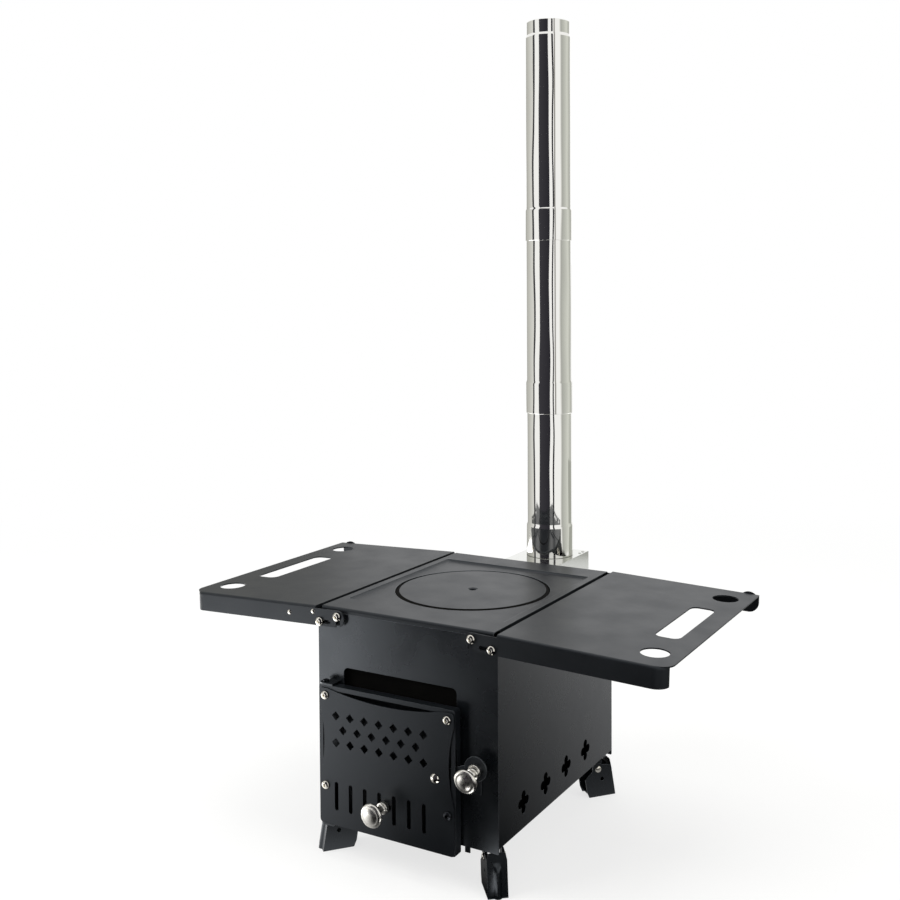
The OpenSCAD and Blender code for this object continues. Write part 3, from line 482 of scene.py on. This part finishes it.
# %% Tree for turned parts: where each point goes
# A hexagon with its corners on the circle is nearer to the axis in between: by
# cos 30 over the cosine of the angle from the middle of its side. The mark
# blends that with the circle.
step = node(turned, "ShaderNodeMath", {0: 2 * math.pi, 1: given["Segments"]}, operation="DIVIDE").outputs[0]
around = node(turned, "ShaderNodeMath", {0: column, 1: step}, operation="MULTIPLY").outputs[0]
side = node(turned, "ShaderNodeMath", {0: around, 1: math.pi / 3}, operation="MODULO").outputs[0]
side = node(turned, "ShaderNodeMath", {0: side, 1: math.pi / 6}, operation="SUBTRACT").outputs[0]
side = node(turned, "ShaderNodeMath", {0: side}, operation="COSINE").outputs[0]
flat = node(turned, "ShaderNodeMath", {0: math.cos(math.pi / 6), 1: side}, operation="DIVIDE").outputs[0]
flat = node(turned, "ShaderNodeMath", {0: flat, 1: 1.0}, operation="SUBTRACT").outputs[0]
flat = node(turned, "ShaderNodeMath", {0: flat, 1: hexagon, 2: 1.0}, operation="MULTIPLY_ADD").outputs[0]
radius = node(turned, "ShaderNodeMath", {0: outline["X"], 1: flat}, operation="MULTIPLY").outputs[0]
angle = node(turned, "ShaderNodeMath", {0: around, 1: given["Turn"]}).outputs[0]
cosine = node(turned, "ShaderNodeMath", {0: angle}, operation="COSINE").outputs[0]
sine = node(turned, "ShaderNodeMath", {0: angle}, operation="SINE").outputs[0]
x = node(turned, "ShaderNodeMath", {0: radius, 1: cosine}, operation="MULTIPLY").outputs[0]
y = node(turned, "ShaderNodeMath", {0: radius, 1: sine}, operation="MULTIPLY").outputs[0]
goal = node(turned, "ShaderNodeCombineXYZ", {0: x, 1: y, 2: outline["Z"]}).outputs[0]
print("places:", len(turned.nodes), "nodes so far")

# %% Tree for turned parts: the surface and its copies
arc = node(turned, "ShaderNodeMath", {0: around, 1: outline["X"]}, operation="MULTIPLY").outputs[0]
unrolled = node(turned, "ShaderNodeCombineXYZ", {0: arc, 1: outline["Z"]}).outputs[0]
stored = {"Geometry": grid, "Name": "unrolled", "Value": unrolled}
kept = node(turned, "GeometryNodeStoreNamedAttribute", stored, data_type="FLOAT_VECTOR").outputs[0]
bent = node(turned, "GeometryNodeSetPosition", {"Geometry": kept, "Position": goal}).outputs[0]
recalled = node(turned, "GeometryNodeInputNamedAttribute", {"Name": "unrolled"}, data_type="FLOAT_VECTOR")
stored = {"Geometry": bent, "Name": "UVMap", "Value": recalled.outputs[0]}
mapped = node(turned, "GeometryNodeStoreNamedAttribute", stored, data_type="FLOAT2", domain="CORNER")
merging = {"Geometry": mapped.outputs[0], "Distance": SAME_POINT}
closed = node(turned, "GeometryNodeMergeByDistance", merging).outputs[0]
facing = node(turned, "GeometryNodeInputNamedAttribute", {"Name": "facing"}, data_type="FLOAT_VECTOR")
aim = node(turned, "FunctionNodeAlignRotationToVector", {"Vector": facing.outputs[0]}, axis="Z").outputs[0]
placed = {"Points": given["Geometry"], "Instance": closed, "Rotation": aim}
copies = node(turned, "GeometryNodeInstanceOnPoints", placed).outputs[0]
real = node(turned, "GeometryNodeRealizeInstances", {"Geometry": copies}).outputs[0]
coated = node(turned, "GeometryNodeSetMaterial", {"Geometry": real, "Material": given["Material"]}).outputs[0]
node(turned, "NodeGroupOutput", {"Geometry": coated})
sockets = {item.name: item.identifier for item in turned.interface.items_tree if item.in_out == "INPUT"}
print("turned part tree:", len(turned.nodes), "nodes")

# %% [markdown]
# ## From a profile to a finished piece
# The profile is written in millimetres as pairs of radius and height, with a
# third number 1 where it is hexagonal. The Profile object and the places are
# only scaffolding: the evaluated result becomes a plain mesh, and the
# scaffolding goes. The grid's winding depends on the profile's direction, so
# the normals are recalculated on the closed mesh.


# %% Make a turned piece
def held(profile_mm, margin=0.5):
    """The same profile with a row close to each end of a long stretch, so that it shades flat."""
    rows = [profile_mm[0]]
    for start, end in zip(profile_mm, profile_mm[1:]):
        length = math.dist(start[:2], end[:2])
        if length > 6 * margin:
            mark = (min(start[2:] + end[2:], default=0),)
            for share in (margin / length, 1 - margin / length):
                rows.append(tuple(a + (b - a) * share for a, b in zip(start[:2], end[:2])) + mark)
        rows.append(end)
    return rows


def turned_piece(name, profile_mm, places_mm, material, body, segments=48, turn=0.0, stands_for=()):
    """Turn a profile on every place; a place is a point and a facing, in the body's own frame."""
    profile_mm = held(profile_mm)
    line = bpy.data.meshes.new(name + "_profile")
    points = [(point[0] * MM, 0, point[1] * MM) for point in profile_mm]
    line.from_pydata(points, [(i, i + 1) for i in range(len(points) - 1)], [])
    marks = line.attributes.new("hexagon", "FLOAT", "POINT")
    marks.data.foreach_set("value", [float(point[2]) if len(point) > 2 else 0.0 for point in profile_mm])
    shape = put(name + "_profile", line)
    spots = bpy.data.meshes.new(name)
    spots.from_pydata([on_stove(spot) for spot, facing in places_mm], [], [])
    aims = spots.attributes.new("facing", "FLOAT_VECTOR", "POINT")
    aims.data.foreach_set("vector", [value for spot, facing in places_mm for value in facing])
    piece = put(name, spots)
    modifier = piece.modifiers.new("turned part", "NODES")
    modifier.node_group = turned
    for title, value in (("Profile", shape), ("Segments", segments), ("Turn", turn), ("Material", material)):
        modifier[sockets[title]] = value
    plain_mesh(piece)
    bpy.data.objects.remove(shape)
    outward = bmesh.new()
    outward.from_mesh(piece.data)
    bmesh.ops.recalc_face_normals(outward, faces=outward.faces)
    outward.to_mesh(piece.data)
    outward.free()
    piece.data.shade_smooth()
    piece.data.set_sharp_from_angle(angle=math.radians(38))
    if stands_for:
        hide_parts(*stands_for)
    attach(piece, body)
    print(name, len(piece.data.polygons), "faces")


# %% [markdown]
# ## Screws and rivets
# The door's front plate is held by button-head socket screws, one of which is
# given the dark oxide finish, and the shelves hang on shouldered ones, with a
# nut behind the panel. A socket head is a low dome with a hexagonal well. The
# legs turn on plain dome rivets, and only their heads are bright, because the
# legs hide the shank and its paint. Each could be modelled by itself, but as
# turned parts they need only one profile of each kind and a list of places.


# %% Button-head screws
def button_profile(r, shank):
    """Profile of a dome with a hexagonal socket, on top of a given shank."""
    well = 0.42 * r
    rim = [(r * 0.97, 0)]
    for degrees in (0, 18, 36, 52):
        rise = math.radians(degrees)
        rim.append((r * math.cos(rise), 0.16 * r + 0.5 * r * math.sin(rise)))
    socket = [(well * 1.12, 0.62 * r, 0.6), (well, 0.6 * r, 1), (well, 0.25 * r, 1)]
    socket += [(well * 0.5, 0.2 * r, 0.5), (0, 0.18 * r)]
    return shank + rim + socket


# %% Door screws
FRONT, REAR = (0, -1, 0), (0, 1, 0)
SCREW_IN, SCREW_UP, SCREW_DOWN = 9, 43, 11  # from the pan's sides, its foot and its top
pan_low, pan_high = extent("door_pan")
plate_face = extent("door_front_plate")[0].y
left, right = pan_low.x + SCREW_IN, pan_high.x - SCREW_IN
low, high = pan_low.z + SCREW_UP, pan_high.z - SCREW_DOWN
button = button_profile(4.8, [(0, -4.8), (2, -4.8), (2, 0)])
for title, finish, spots in (
    ("door_button_screws", nickel_plate, ((left, low), (left, high), (right, high))),
    # One screw takes the dark oxide finish, so it shows dark
    ("door_blackened_screw", oxide_steel, ((right, low),)),
):
    places = [((x, plate_face, z), FRONT) for x, z in spots]
    turned_piece(title, button, places, finish, body_of("door_screws"), 36, stands_for=("door_screws",))

# %% Shelf screws
PIVOT_IN, PIVOT_DOWN = 5, 17  # from the body's side and the cooking top
GUIDE_IN, GUIDE_UP = 24, 8  # from the pivot screw
HEAD_GAP = 0.3
shelf_low, shelf_high = extent("shelf_left")
shoulder = [
    (0, -9.3), (3.4, -9.3, 1), (3.4, -6.3, 1), (2.5, -6.3),
    (2.5, -4.8), (4.7, -4.8), (4.7, -2.1), (2.5, -2.1), (2.5, 0),
]
pivot_x, pivot_z = HALF_WIDTH - PIVOT_IN, HEIGHT - PIVOT_DOWN
sides = ((shelf_low.y - HEAD_GAP, FRONT), (shelf_high.y + HEAD_GAP, REAR))
for title, x, z in (
    ("shelf_pivot_screws", pivot_x, pivot_z),
    ("shelf_guide_screws", pivot_x - GUIDE_IN, pivot_z + GUIDE_UP),
):
    places = [((hand * x, y, z), way) for hand in (-1, 1) for y, way in sides]
    screw, body = button_profile(5, shoulder), body_of(title)
    turned_piece(title + "_turned", screw, places, nickel_plate, body, 36, stands_for=(title,))

# %% Leg rivets
LEG_IN, LEG_BACK, LEG_DROP = 16, 18, 15.5  # pivot in from the side, in from front or back, and down
LEG_TURN, LEG_SPLAY = math.radians(50), math.radians(9)
RIVET_OUT = 11.2


def leg_pivot(across, along):
    """A leg's pivot; across is -1 on the left and 1 on the right, along is -1 in front and 1 behind."""
    return (across * (HALF_WIDTH - LEG_IN), LEG_BACK if along < 0 else DEPTH - LEG_BACK, -LEG_DROP)


places = []
for across in (-1, 1):
    for along in (-1, 1):
        pivot = Vector(leg_pivot(across, along))
        out = Vector((along * math.sin(LEG_TURN), -across * math.cos(LEG_TURN), 0))
        places += [(tuple(pivot + way * out * RIVET_OUT), tuple(way * out)) for way in (-1, 1)]
head = [(0, 0), (4, 0), (4.05, 0.4), (3.7, 0.95), (2.9, 1.45), (1.6, 1.72), (0, 1.8)]
shank = [(0, -RIVET_OUT), (2, -RIVET_OUT), (2, 0.1), (0, 0.1)]
body = body_of("leg_rivets")
turned_piece("leg_rivet_heads", head, places, nickel_plate, body, 24, stands_for=("leg_rivets",))
turned_piece("leg_rivet_shanks", shank, places, body_paint, body, 20)

# %% Shelf rivets
# Two small rivets show on the front flange of the left shelf, near its ear.
places = [((-152.9, shelf_low.y, 215.7), FRONT), ((-119.5, shelf_low.y, 221.0), FRONT)]
head = [(0, -1), (2.2, -1), (2.6, 0), (2.6, 0.3), (2.2, 0.8), (1.2, 1.15), (0, 1.25)]
turned_piece("shelf_flange_rivets", head, places, nickel_plate, body_of("shelf_left"), 20)

# %% [markdown]
# ## Polished knobs
# Both knobs are turned from one bar: a collar that seats on the sheet, a neck
# that narrows for cool air, and a head whose face has a flat ring round a
# shallow dome. A sphere on a stick would do from afar, but the ring and the
# undercut behind the head are what the light catches. The plate lies on a
# satin ground, so the highlights are soft. The latch's knob hangs down a
# little on its stud.


# %% Knobs
def knob_profile(reach, back):
    """Profile of a knob that stands out by reach; back is its hidden stud, listed first."""
    neck = [
        (6.3, 0.0), (6.7, 0.3), (6.7, 4.6), (6.3, 5.3),
        (5.4, 5.6), (4.6, 6.1), (4.1, 7.2), (4.0, 9.0),
    ]
    head = [
        (4.2, 12), (5.2, 10.2), (6.8, 9.4), (9.4, 8.6), (11.5, 7.7), (12.6, 6.6),
        (13.0, 5.3), (12.8, 4.0), (12.1, 2.9), (11.0, 2.2), (9.9, 1.9), (9.1, 1.9),
        (8.3, 1.8), (7.3, 1.4), (6.0, 0.9), (4.4, 0.4), (2.3, 0.1), (0, 0),
    ]
    return back + neck + [(radius, reach - inward) for radius, inward in head]


AIR_KNOB_AT = (-17.2, plate_face - 0.3, 24.0)
LATCH_KNOB_AT = (95.5, -15.9, 85.2)
LATCH_COLLAR_AT = (95.5, -13.8, 86.2)
stud = [(0, -3), (2, -3), (2, 0)]
turned_piece(
    "air_knob_turned", knob_profile(29, stud), [(AIR_KNOB_AT, FRONT)],
    satin_nickel, body_of("air_knob"), 64, stands_for=("air_knob",),
)
tilt = math.radians(9)
hanging = (0, -math.cos(tilt), -math.sin(tilt))
turned_piece(
    "latch_knob_turned", knob_profile(23.5, [(0, 0)]), [(LATCH_KNOB_AT, hanging)],
    satin_nickel, body_of("latch_knob"), 64, stands_for=("latch_knob",),
)
collar = [(0, -4), (2, -4), (2, 0), (6.9, 0), (7.2, 0.3), (7.2, 3.6), (6.8, 4.2), (0, 4.2)]
turned_piece("latch_knob_collar", collar, [(LATCH_COLLAR_AT, FRONT)], satin_nickel, body_of("latch_knob"), 48)

# %% [markdown]
# ## The lid
# The lid is a disc with a pressed-down rim and a countersunk lifting hole. A
# thin ring in the sooty, hardly reflecting finish lies on the rim as painted
# shade for the gap round the lid, so it reads as a dark ring, broad on the near
# side, where the rim faces the eye, and thin behind. The solid's edge is nearly
# square, so the lid is turned again with its rim. The painted shade could be a
# mask in the paint, but a thin ring of its own has a cleaner edge.

# %% Lid
UP = (0, 0, 1)
lid = body_of("round_lid")
lid_places = [((0, DEPTH / 2, extent("round_lid")[0].z), UP)]
lid_profile = [
    (4, 0), (90.0, 0), (90.2, 0.1), (90.2, 0.25), (89.6, 0.4), (88.7, 0.9), (88.0, 1.5),
    (87.4, 1.9), (86.8, 2.0), (6.6, 2.0), (5.9, 1.85), (4.9, 1.2), (4.2, 1.0), (4, 0.8), (4, 0),
]
turned_piece("round_lid_turned", lid_profile, lid_places, top_paint, lid, 128, stands_for=("round_lid",))
# Painted shade: a dark ring on the lid's rim stands for the gap round the lid
painted_shade_ring = [
    (89.9, 0.05), (90.4, 0.1), (90.4, 0.35), (89.9, 0.5), (89.0, 0.95),
    (88.2, 1.6), (87.7, 2.0), (87.3, 2.05), (87.3, 1.2), (89.9, 0.05),
]
turned_piece("lid_soot_ring", painted_shade_ring, lid_places, soot_and_shade_steel, lid, 128)

# %% [markdown]
# ## Pressed sheet: the recess's edge and the ribbed legs
# Two places are pressed, not folded: the edge of the cooking top's recess runs
# down in a soft slope, and each leg has a rib that stiffens it. Bump in a
# material would leave both flat in outline, so both are lofts: a row of loops
# with the same number of points, with faces drawn between neighbours. The
# recess's loops run round the recess and the last one joins the first. A leg's
# loops run round the sheet, and its two ends are capped.


# %% Loft
def loft(name, loops_mm, material, body, ring=False):
    """Join loops of points by faces; a ring joins last to first, anything else is capped."""
    shape = bmesh.new()
    loops = [[shape.verts.new(on_stove(point)) for point in loop] for loop in loops_mm]
    for lower, upper in zip(loops, loops[1:] + loops[:1] if ring else loops[1:]):
        for i in range(len(lower)):
            j = (i + 1) % len(lower)
            shape.faces.new((lower[i], lower[j], upper[j], upper[i]))
    if not ring:
        shape.faces.new(loops[0])
        shape.faces.new(loops[-1])
    bmesh.ops.recalc_face_normals(shape, faces=shape.faces)
    mesh = mesh_from(shape, name)
    mesh.materials.append(material)
    mesh.shade_smooth()
    mesh.set_sharp_from_angle(angle=math.radians(35))
    piece = put(name, mesh)
    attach(piece, body)
    print(name, len(mesh.polygons), "faces")


# %% Recess edge
RECESS_HALF_WIDTH, RECESS_HALF_LENGTH = 101, 111
CORNER_RADIUS = 3


def recess_loop(inset, down):
    """A rounded rectangle in the recess, so far below the top; its corners open up as it goes in."""
    radius = CORNER_RADIUS + 0.9 * inset
    points = []
    for corner, (sx, sy) in enumerate(((1, 1), (-1, 1), (-1, -1), (1, -1))):
        for step in range(7):
            turn = math.radians(90 * corner + 15 * step)
            x = sx * (RECESS_HALF_WIDTH - inset - radius) + radius * math.cos(turn)
            y = DEPTH / 2 + sy * (RECESS_HALF_LENGTH - inset - radius) + radius * math.sin(turn)
            points.append((x, y, HEIGHT - down))
    return points


slope = [(-0.2, 2.7), (-0.2, 0.5), (0.3, 0.6), (0.9, 1.0), (2.5, 2.05), (3.5, 2.4), (4.6, 2.5), (4.6, 2.7)]
loft("recess_edge", [recess_loop(*step) for step in slope], top_paint, body_of("cooking_top"), ring=True)

# %% Ribbed leg faces
LEG_FOOT, LEG_TOP = -34.2, 10.6  # from the leg's pivot
FACE_BACK, FACE_FRONT = 17.7, 18.2  # from the leg's pivot, outward
LEG_HALF = 10.9
half_rib = [(4.6, 0), (4.0, 0.4), (3.2, 1.3), (2.2, 2.1), (1.1, 2.6)]
rib = [(-y, out) for y, out in half_rib] + [(0, 2.8)] + half_rib[::-1]


def leg_loop(across, along, height, half_width, rise):
    """One loop round a leg's pressed face, at a height from its pivot, turned into its corner."""
    section = [(-half_width, FACE_BACK), (-half_width, FACE_FRONT)]
    section += [(y, FACE_FRONT + rise * out) for y, out in rib]
    section += [(half_width, FACE_FRONT), (half_width, FACE_BACK)]
    facing = math.atan2(along * math.sin(LEG_TURN), across * math.cos(LEG_TURN))
    pivot = Point(*leg_pivot(across, along))
    points = []
    for y, bow in section:
        out = (bow - height * math.sin(LEG_SPLAY)) / math.cos(LEG_SPLAY)
        x = pivot.x + out * math.cos(facing) - y * math.sin(facing)
        points.append((x, pivot.y + out * math.sin(facing) + y * math.cos(facing), pivot.z + height))
    return points


# Each level is a height, half the width there, and the share of the rib's full height.
levels = [(LEG_TOP, 7.8, 0), (LEG_TOP - 0.9, 9.2, 0), (LEG_TOP - 2.4, 9.8, 0), (1.5, LEG_HALF, 0)]
levels += [
    (height, LEG_HALF, rise)
    for height, rise in ((-2, 0.04), (-3.5, 0.35), (-5, 0.72), (-6.5, 0.93), (-8.5, 1), (LEG_FOOT, 1))
]
for across, side in ((-1, "left"), (1, "right")):
    for along, end in ((-1, "front"), (1, "back")):
        loops = [leg_loop(across, along, *level) for level in levels]
        loft(f"leg_{end}_{side}_ribbed_face", loops, body_paint, body_of(f"leg_{end}_{side}"))

# %% [markdown]
# ## The chimney
# Each pipe is rolled, welded and swaged: the lower end is widened into a bell
# that slips over the pipe below, and the upper end is drawn in to fit the next
# bell. Swaging leaves soft shoulders, not sharp steps, and each shoulder shows
# as a bright ring. A plain cylinder would have none of them, so each pipe is
# turned from a profile with both ends drawn in full. The weld of the two upper
# pipes faces the front right. On the lower pipe none is drawn.


# %% Pipes
def pipe_profile(length):
    """Profile of one pipe from inside the bell, up the outside, and down the inside."""
    outside = [
        (30.2, 0.3), (30.5, 0), (30.9, 0), (31.2, 0.3),
        (31.2, 39.2), (31.1, 40.4), (30.75, 41.6), (30.3, 42.7), (30, 44),
        (30, length - 20.6), (29.85, length - 19.6), (29.2, length - 18.2), (28.8, length - 17.2),
        (28.8, length - 0.3), (28.6, length),
    ]
    inside = [
        (28.1, length), (27.8, length - 0.3), (27.8, length - 17.6),
        (28.9, length - 21.4), (29, length - 22.4), (29, 41.2), (30.2, 40.8), (30.2, 0.3),
    ]
    return outside + inside


collar_low, collar_high = extent("flue_collar")
flue_y = (collar_low.y + collar_high.y) / 2
for title, degrees, finish in (
    ("chimney_lower", 90, mirror_stainless),
    ("chimney_middle", -50, welded_stainless),
    ("chimney_upper", -50, welded_stainless),
):
    pipe_low, pipe_high = extent(title)
    turned_piece(
        title + "_rolled", pipe_profile(pipe_high.z - pipe_low.z), [((0, flue_y, pipe_low.z), UP)],
        finish, body_of(title), 128, math.radians(degrees), stands_for=(title,),
    )

# %% [markdown]
# ## The floor
# A white sweep is usual for product pictures. It could be a bent sheet, but a
# flat floor works from every side. Near the stove it takes the stove's soft
# shadow, and part of its brightness is its own. Further out it fades into
# plain light, so that it meets the background without an edge.


# %% Floor
def disc(name, radius, at=(0, 0, 0), segments=64):
    """A flat round mesh; its radius and its middle are in metres."""
    shape = bmesh.new()
    middle = Matrix.Translation(at)
    bmesh.ops.create_circle(shape, cap_ends=True, radius=radius, segments=segments, matrix=middle)
    return mesh_from(shape, name)


def bare_material(name):
    """A material with an empty tree."""
    material = bpy.data.materials.new(name)
    material.use_nodes = True
    material.node_tree.nodes.clear()
    return material, material.node_tree


def seen(tree):
    """1 where the camera, a reflection or a refraction looks, and 0 where a ray only carries light."""
    rays = node(tree, "ShaderNodeLightPath").outputs
    level = rays["Is Camera Ray"]
    for kind in ("Is Glossy Ray", "Is Transmission Ray"):
        level = node(tree, "ShaderNodeMath", {0: level, 1: rays[kind]}, operation="MAXIMUM").outputs[0]
    return level


FLOOR_RADIUS = 60
floor = put("floor", disc("floor", FLOOR_RADIUS))
print("floor radius", FLOOR_RADIUS, "m")

# %% Floor finish
WHITE = (1, 1, 1, 1)
OWN_LIGHT = 0.72
AMBIENT = 0.5  # the studio's strength where it only lights the stove
FADE_FROM, FADE_TO = 0.7, 2.2  # metres
floor_material, tree = bare_material("white_sweep")
floor.data.materials.append(floor_material)
looked_at = seen(tree)
own_light = node(tree, "ShaderNodeMath", {0: looked_at, 1: OWN_LIGHT}, operation="MULTIPLY")
glow = node(tree, "ShaderNodeEmission", {"Strength": own_light.outputs[0], "Color": WHITE})
surface = node(tree, "ShaderNodeBsdfDiffuse", {"Color": colour("#989896")})
near = node(tree, "ShaderNodeAddShader", {0: glow.outputs[0], 1: surface.outputs[0]})
far_light = node(tree, "ShaderNodeMapRange", {"Value": looked_at, "To Min": AMBIENT, "To Max": 1.0})
far = node(tree, "ShaderNodeEmission", {"Strength": far_light.outputs["Result"], "Color": WHITE})
place = node(tree, "ShaderNodeTexCoord").outputs["Object"]
distance = node(tree, "ShaderNodeVectorMath", {0: place}, operation="LENGTH").outputs["Value"]
fading = {"Value": distance, "From Min": FADE_FROM, "From Max": FADE_TO}
fade = node(tree, "ShaderNodeMapRange", fading, interpolation_type="SMOOTHSTEP")
both = node(tree, "ShaderNodeMixShader", {0: fade.outputs["Result"], 1: near.outputs[0], 2: far.outputs[0]})
node(tree, "ShaderNodeOutputMaterial", {"Surface": both.outputs[0]})
print("floor fades between", FADE_FROM, "and", FADE_TO, "m")

# %% [markdown]
# ## Background and lamps
# The world is white where the camera, a reflection or a refraction looks at
# it, and dimmer where it only lights the stove. Large area lamps add the
# rest: a key from the upper left, a fill from the right, and a top lamp. They
# stay out of the reflections, which the white world and the cards shape, but
# for a weak one behind, whose sheen lies on the cooking top and right shelf.

# %% World
world = bpy.data.worlds.new("studio")
bpy.context.scene.world = world
world.use_nodes = True
tree = world.node_tree
tree.nodes.clear()
strength = node(tree, "ShaderNodeMapRange", {"Value": seen(tree), "To Min": AMBIENT, "To Max": 1.0})
sky = node(tree, "ShaderNodeBackground", {"Color": WHITE, "Strength": strength.outputs["Result"]})
node(tree, "ShaderNodeOutputWorld", {"Surface": sky.outputs[0]})
print("world strength", AMBIENT, "for light, 1 where it is seen")


# %% Lamps
def softbox(name, at, towards, size, watts):
    """A square area lamp that faces a point and stays out of reflections."""
    light = bpy.data.lights.new(name, "AREA")
    light.size = size
    light.energy = watts
    lamp = put(name, light)
    lamp.location = at
    lamp.rotation_euler = (Vector(towards) - Vector(at)).to_track_quat("-Z", "Y").to_euler()
    lamp.visible_glossy = False
    return lamp


softbox("key", (-1.6, -1.5, 2.0), (0, 0, 0.25), size=1.6, watts=38)
softbox("fill", (2.2, -0.4, 1.3), (0, 0, 0.3), size=1.5, watts=14)
softbox("top", (0.0, 0.3, 2.6), (0, 0, 0.2), size=1.8, watts=22)
softbox("back", (-0.9, 2.6, 1.3), (0.1, 0, 0.3), size=1.2, watts=1.2).visible_glossy = True

# %% [markdown]
# ## What the gloss reflects
# Polished metal has no look of its own, and satin paint has little: both show
# their surroundings. The broad dark stripe on the chimney is the dark half of
# the studio behind the camera, and the thin ones beside it come from narrow
# things, such as lamp stands. The studio's pale sides grey the edges of the
# pipe, the cooking top and the shelves. A whole studio could be built, but
# upright curved cards are enough, with one flat card for the floor. That one
# is black in front and on the right, so that the front wall falls off to black
# there. The cards are only seen in reflections, so they neither shade the
# stove nor show in the picture.


# %% Cards
def only_reflected(name, mesh, look):
    """Put a glowing card in the studio that only glossy rays can see; look gives its glow's inputs."""
    material, tree = bare_material(name)
    glow = node(tree, "ShaderNodeEmission", look(tree))
    node(tree, "ShaderNodeOutputMaterial", {"Surface": glow.outputs[0]})
    mesh.materials.append(material)
    made = put(name, mesh)
    made.visible_camera = False
    made.visible_diffuse = False
    made.visible_shadow = False
    made.visible_transmission = False


def card(name, from_degrees, to_degrees, shade, last_shade, radius=1.0, high=1.5):
    """A curved upright card round the chimney; 0 degrees is in front of it, and 90 on the right."""
    axis = Vector(on_stove((0, flue_y, -UNDERSIDE)))
    steps = max(2, int(abs(to_degrees - from_degrees)))
    shape = bmesh.new()
    across = shape.loops.layers.uv.new("across")
    rows = []
    for step in range(steps + 1):
        turn = math.radians(from_degrees + (to_degrees - from_degrees) * step / steps)
        foot = axis + Vector((math.sin(turn), -math.cos(turn), 0)) * radius
        rows.append([shape.verts.new(foot + Vector((0, 0, level))) for level in (0, high)])
    for step, (start, end) in enumerate(zip(rows, rows[1:])):
        face = shape.faces.new((start[0], end[0], end[1], start[1]))
        for loop, part in zip(face.loops, (step, step + 1, step + 1, step)):
            loop[across].uv = (part / steps, 0)

    def fading(tree):
        part = node(tree, "ShaderNodeUVMap", uv_map="across").outputs["UV"]
        part = node(tree, "ShaderNodeSeparateXYZ", {0: part}).outputs["X"]
        shades = {"Factor": part, "A": colour(shade), "B": colour(last_shade)}
        return {"Color": node(tree, "ShaderNodeMix", shades, data_type="RGBA").outputs["Result"]}

    only_reflected(name, mesh_from(shape, name), fading)


card("dark_studio_card", 29, -25, "#2c2b31", "#3d3c41", radius=0.95)
card("thin_left_card", -50, -61, "#3a3a3e", "#4a4a4c")
card("pale_left_card", -61, -106, "#e2e2de", "#c0c0ba", radius=1.3, high=1.3)
card("left_edge_card", -106, -130, "#c8c8c3", "#9e9e98", radius=1.3, high=1.3)
card("thin_right_card", 44, 51, "#1f1f23", "#2f2f33")
card("soft_line_card", 84, 94, "#f4f4f0", "#a2a39f", radius=1.3, high=1.3)
card("pale_right_card", 94, 134, "#b4b6b0", "#dcded6", radius=1.3, high=1.3)
card("right_edge_card", 134, 168, "#dcded6", "#a6a7a0", radius=1.3, high=1.3)
card("low_grey_card", 135, 172, "#a8aaa2", "#a8aaa2", radius=1.2, high=0.22)


# %% Floor card
# Its brightness grows towards the back and, faster, towards the left, and the
# brighter of the two counts. Past white it lifts the sheen of the left shelf.
def floor_look(tree):
    """The floor card's glow: black in front and on the right, bright behind and on the left."""
    place = node(tree, "ShaderNodeTexCoord").outputs["Object"]
    levels = []
    for slope, nearest, farthest, brightest in (
        ((-1.7, 1.5, 0), -0.42, 0.58, 1.0),
        ((-1.0, 0.35, 0), -0.07, 0.3, 3.2),
    ):
        along = node(tree, "ShaderNodeVectorMath", {0: place, 1: slope}, operation="DOT_PRODUCT")
        ramp = {"From Min": nearest, "From Max": farthest, "To Max": brightest}
        ramp = node(tree, "ShaderNodeMapRange", {"Value": along.outputs["Value"]} | ramp)
        levels.append(ramp.outputs["Result"])
    level = node(tree, "ShaderNodeMath", dict(enumerate(levels)), operation="MAXIMUM")
    return {"Strength": level.outputs[0], "Color": WHITE}


only_reflected("dark_floor_card", disc("dark_floor_card", 1.35, (0, 0, 0.001)), floor_look)
print("floor card: black in front on the right, bright on the left")


# %% Glint card
# A small reflector on the floor in front of the near leg lifts its rib.
def glint_look(tree):
    """An even glow, brighter than white."""
    return {"Strength": 2.6, "Color": WHITE}


only_reflected("glint_card", disc("glint_card", 0.04, (0.1, -0.24, 0.002), segments=32), glint_look)
print("glint card in front of the near leg")

# %% [markdown]
# The Standard view shows a colour as it is written.

# %% Finish
bpy.context.scene.view_settings.view_transform = "Standard"
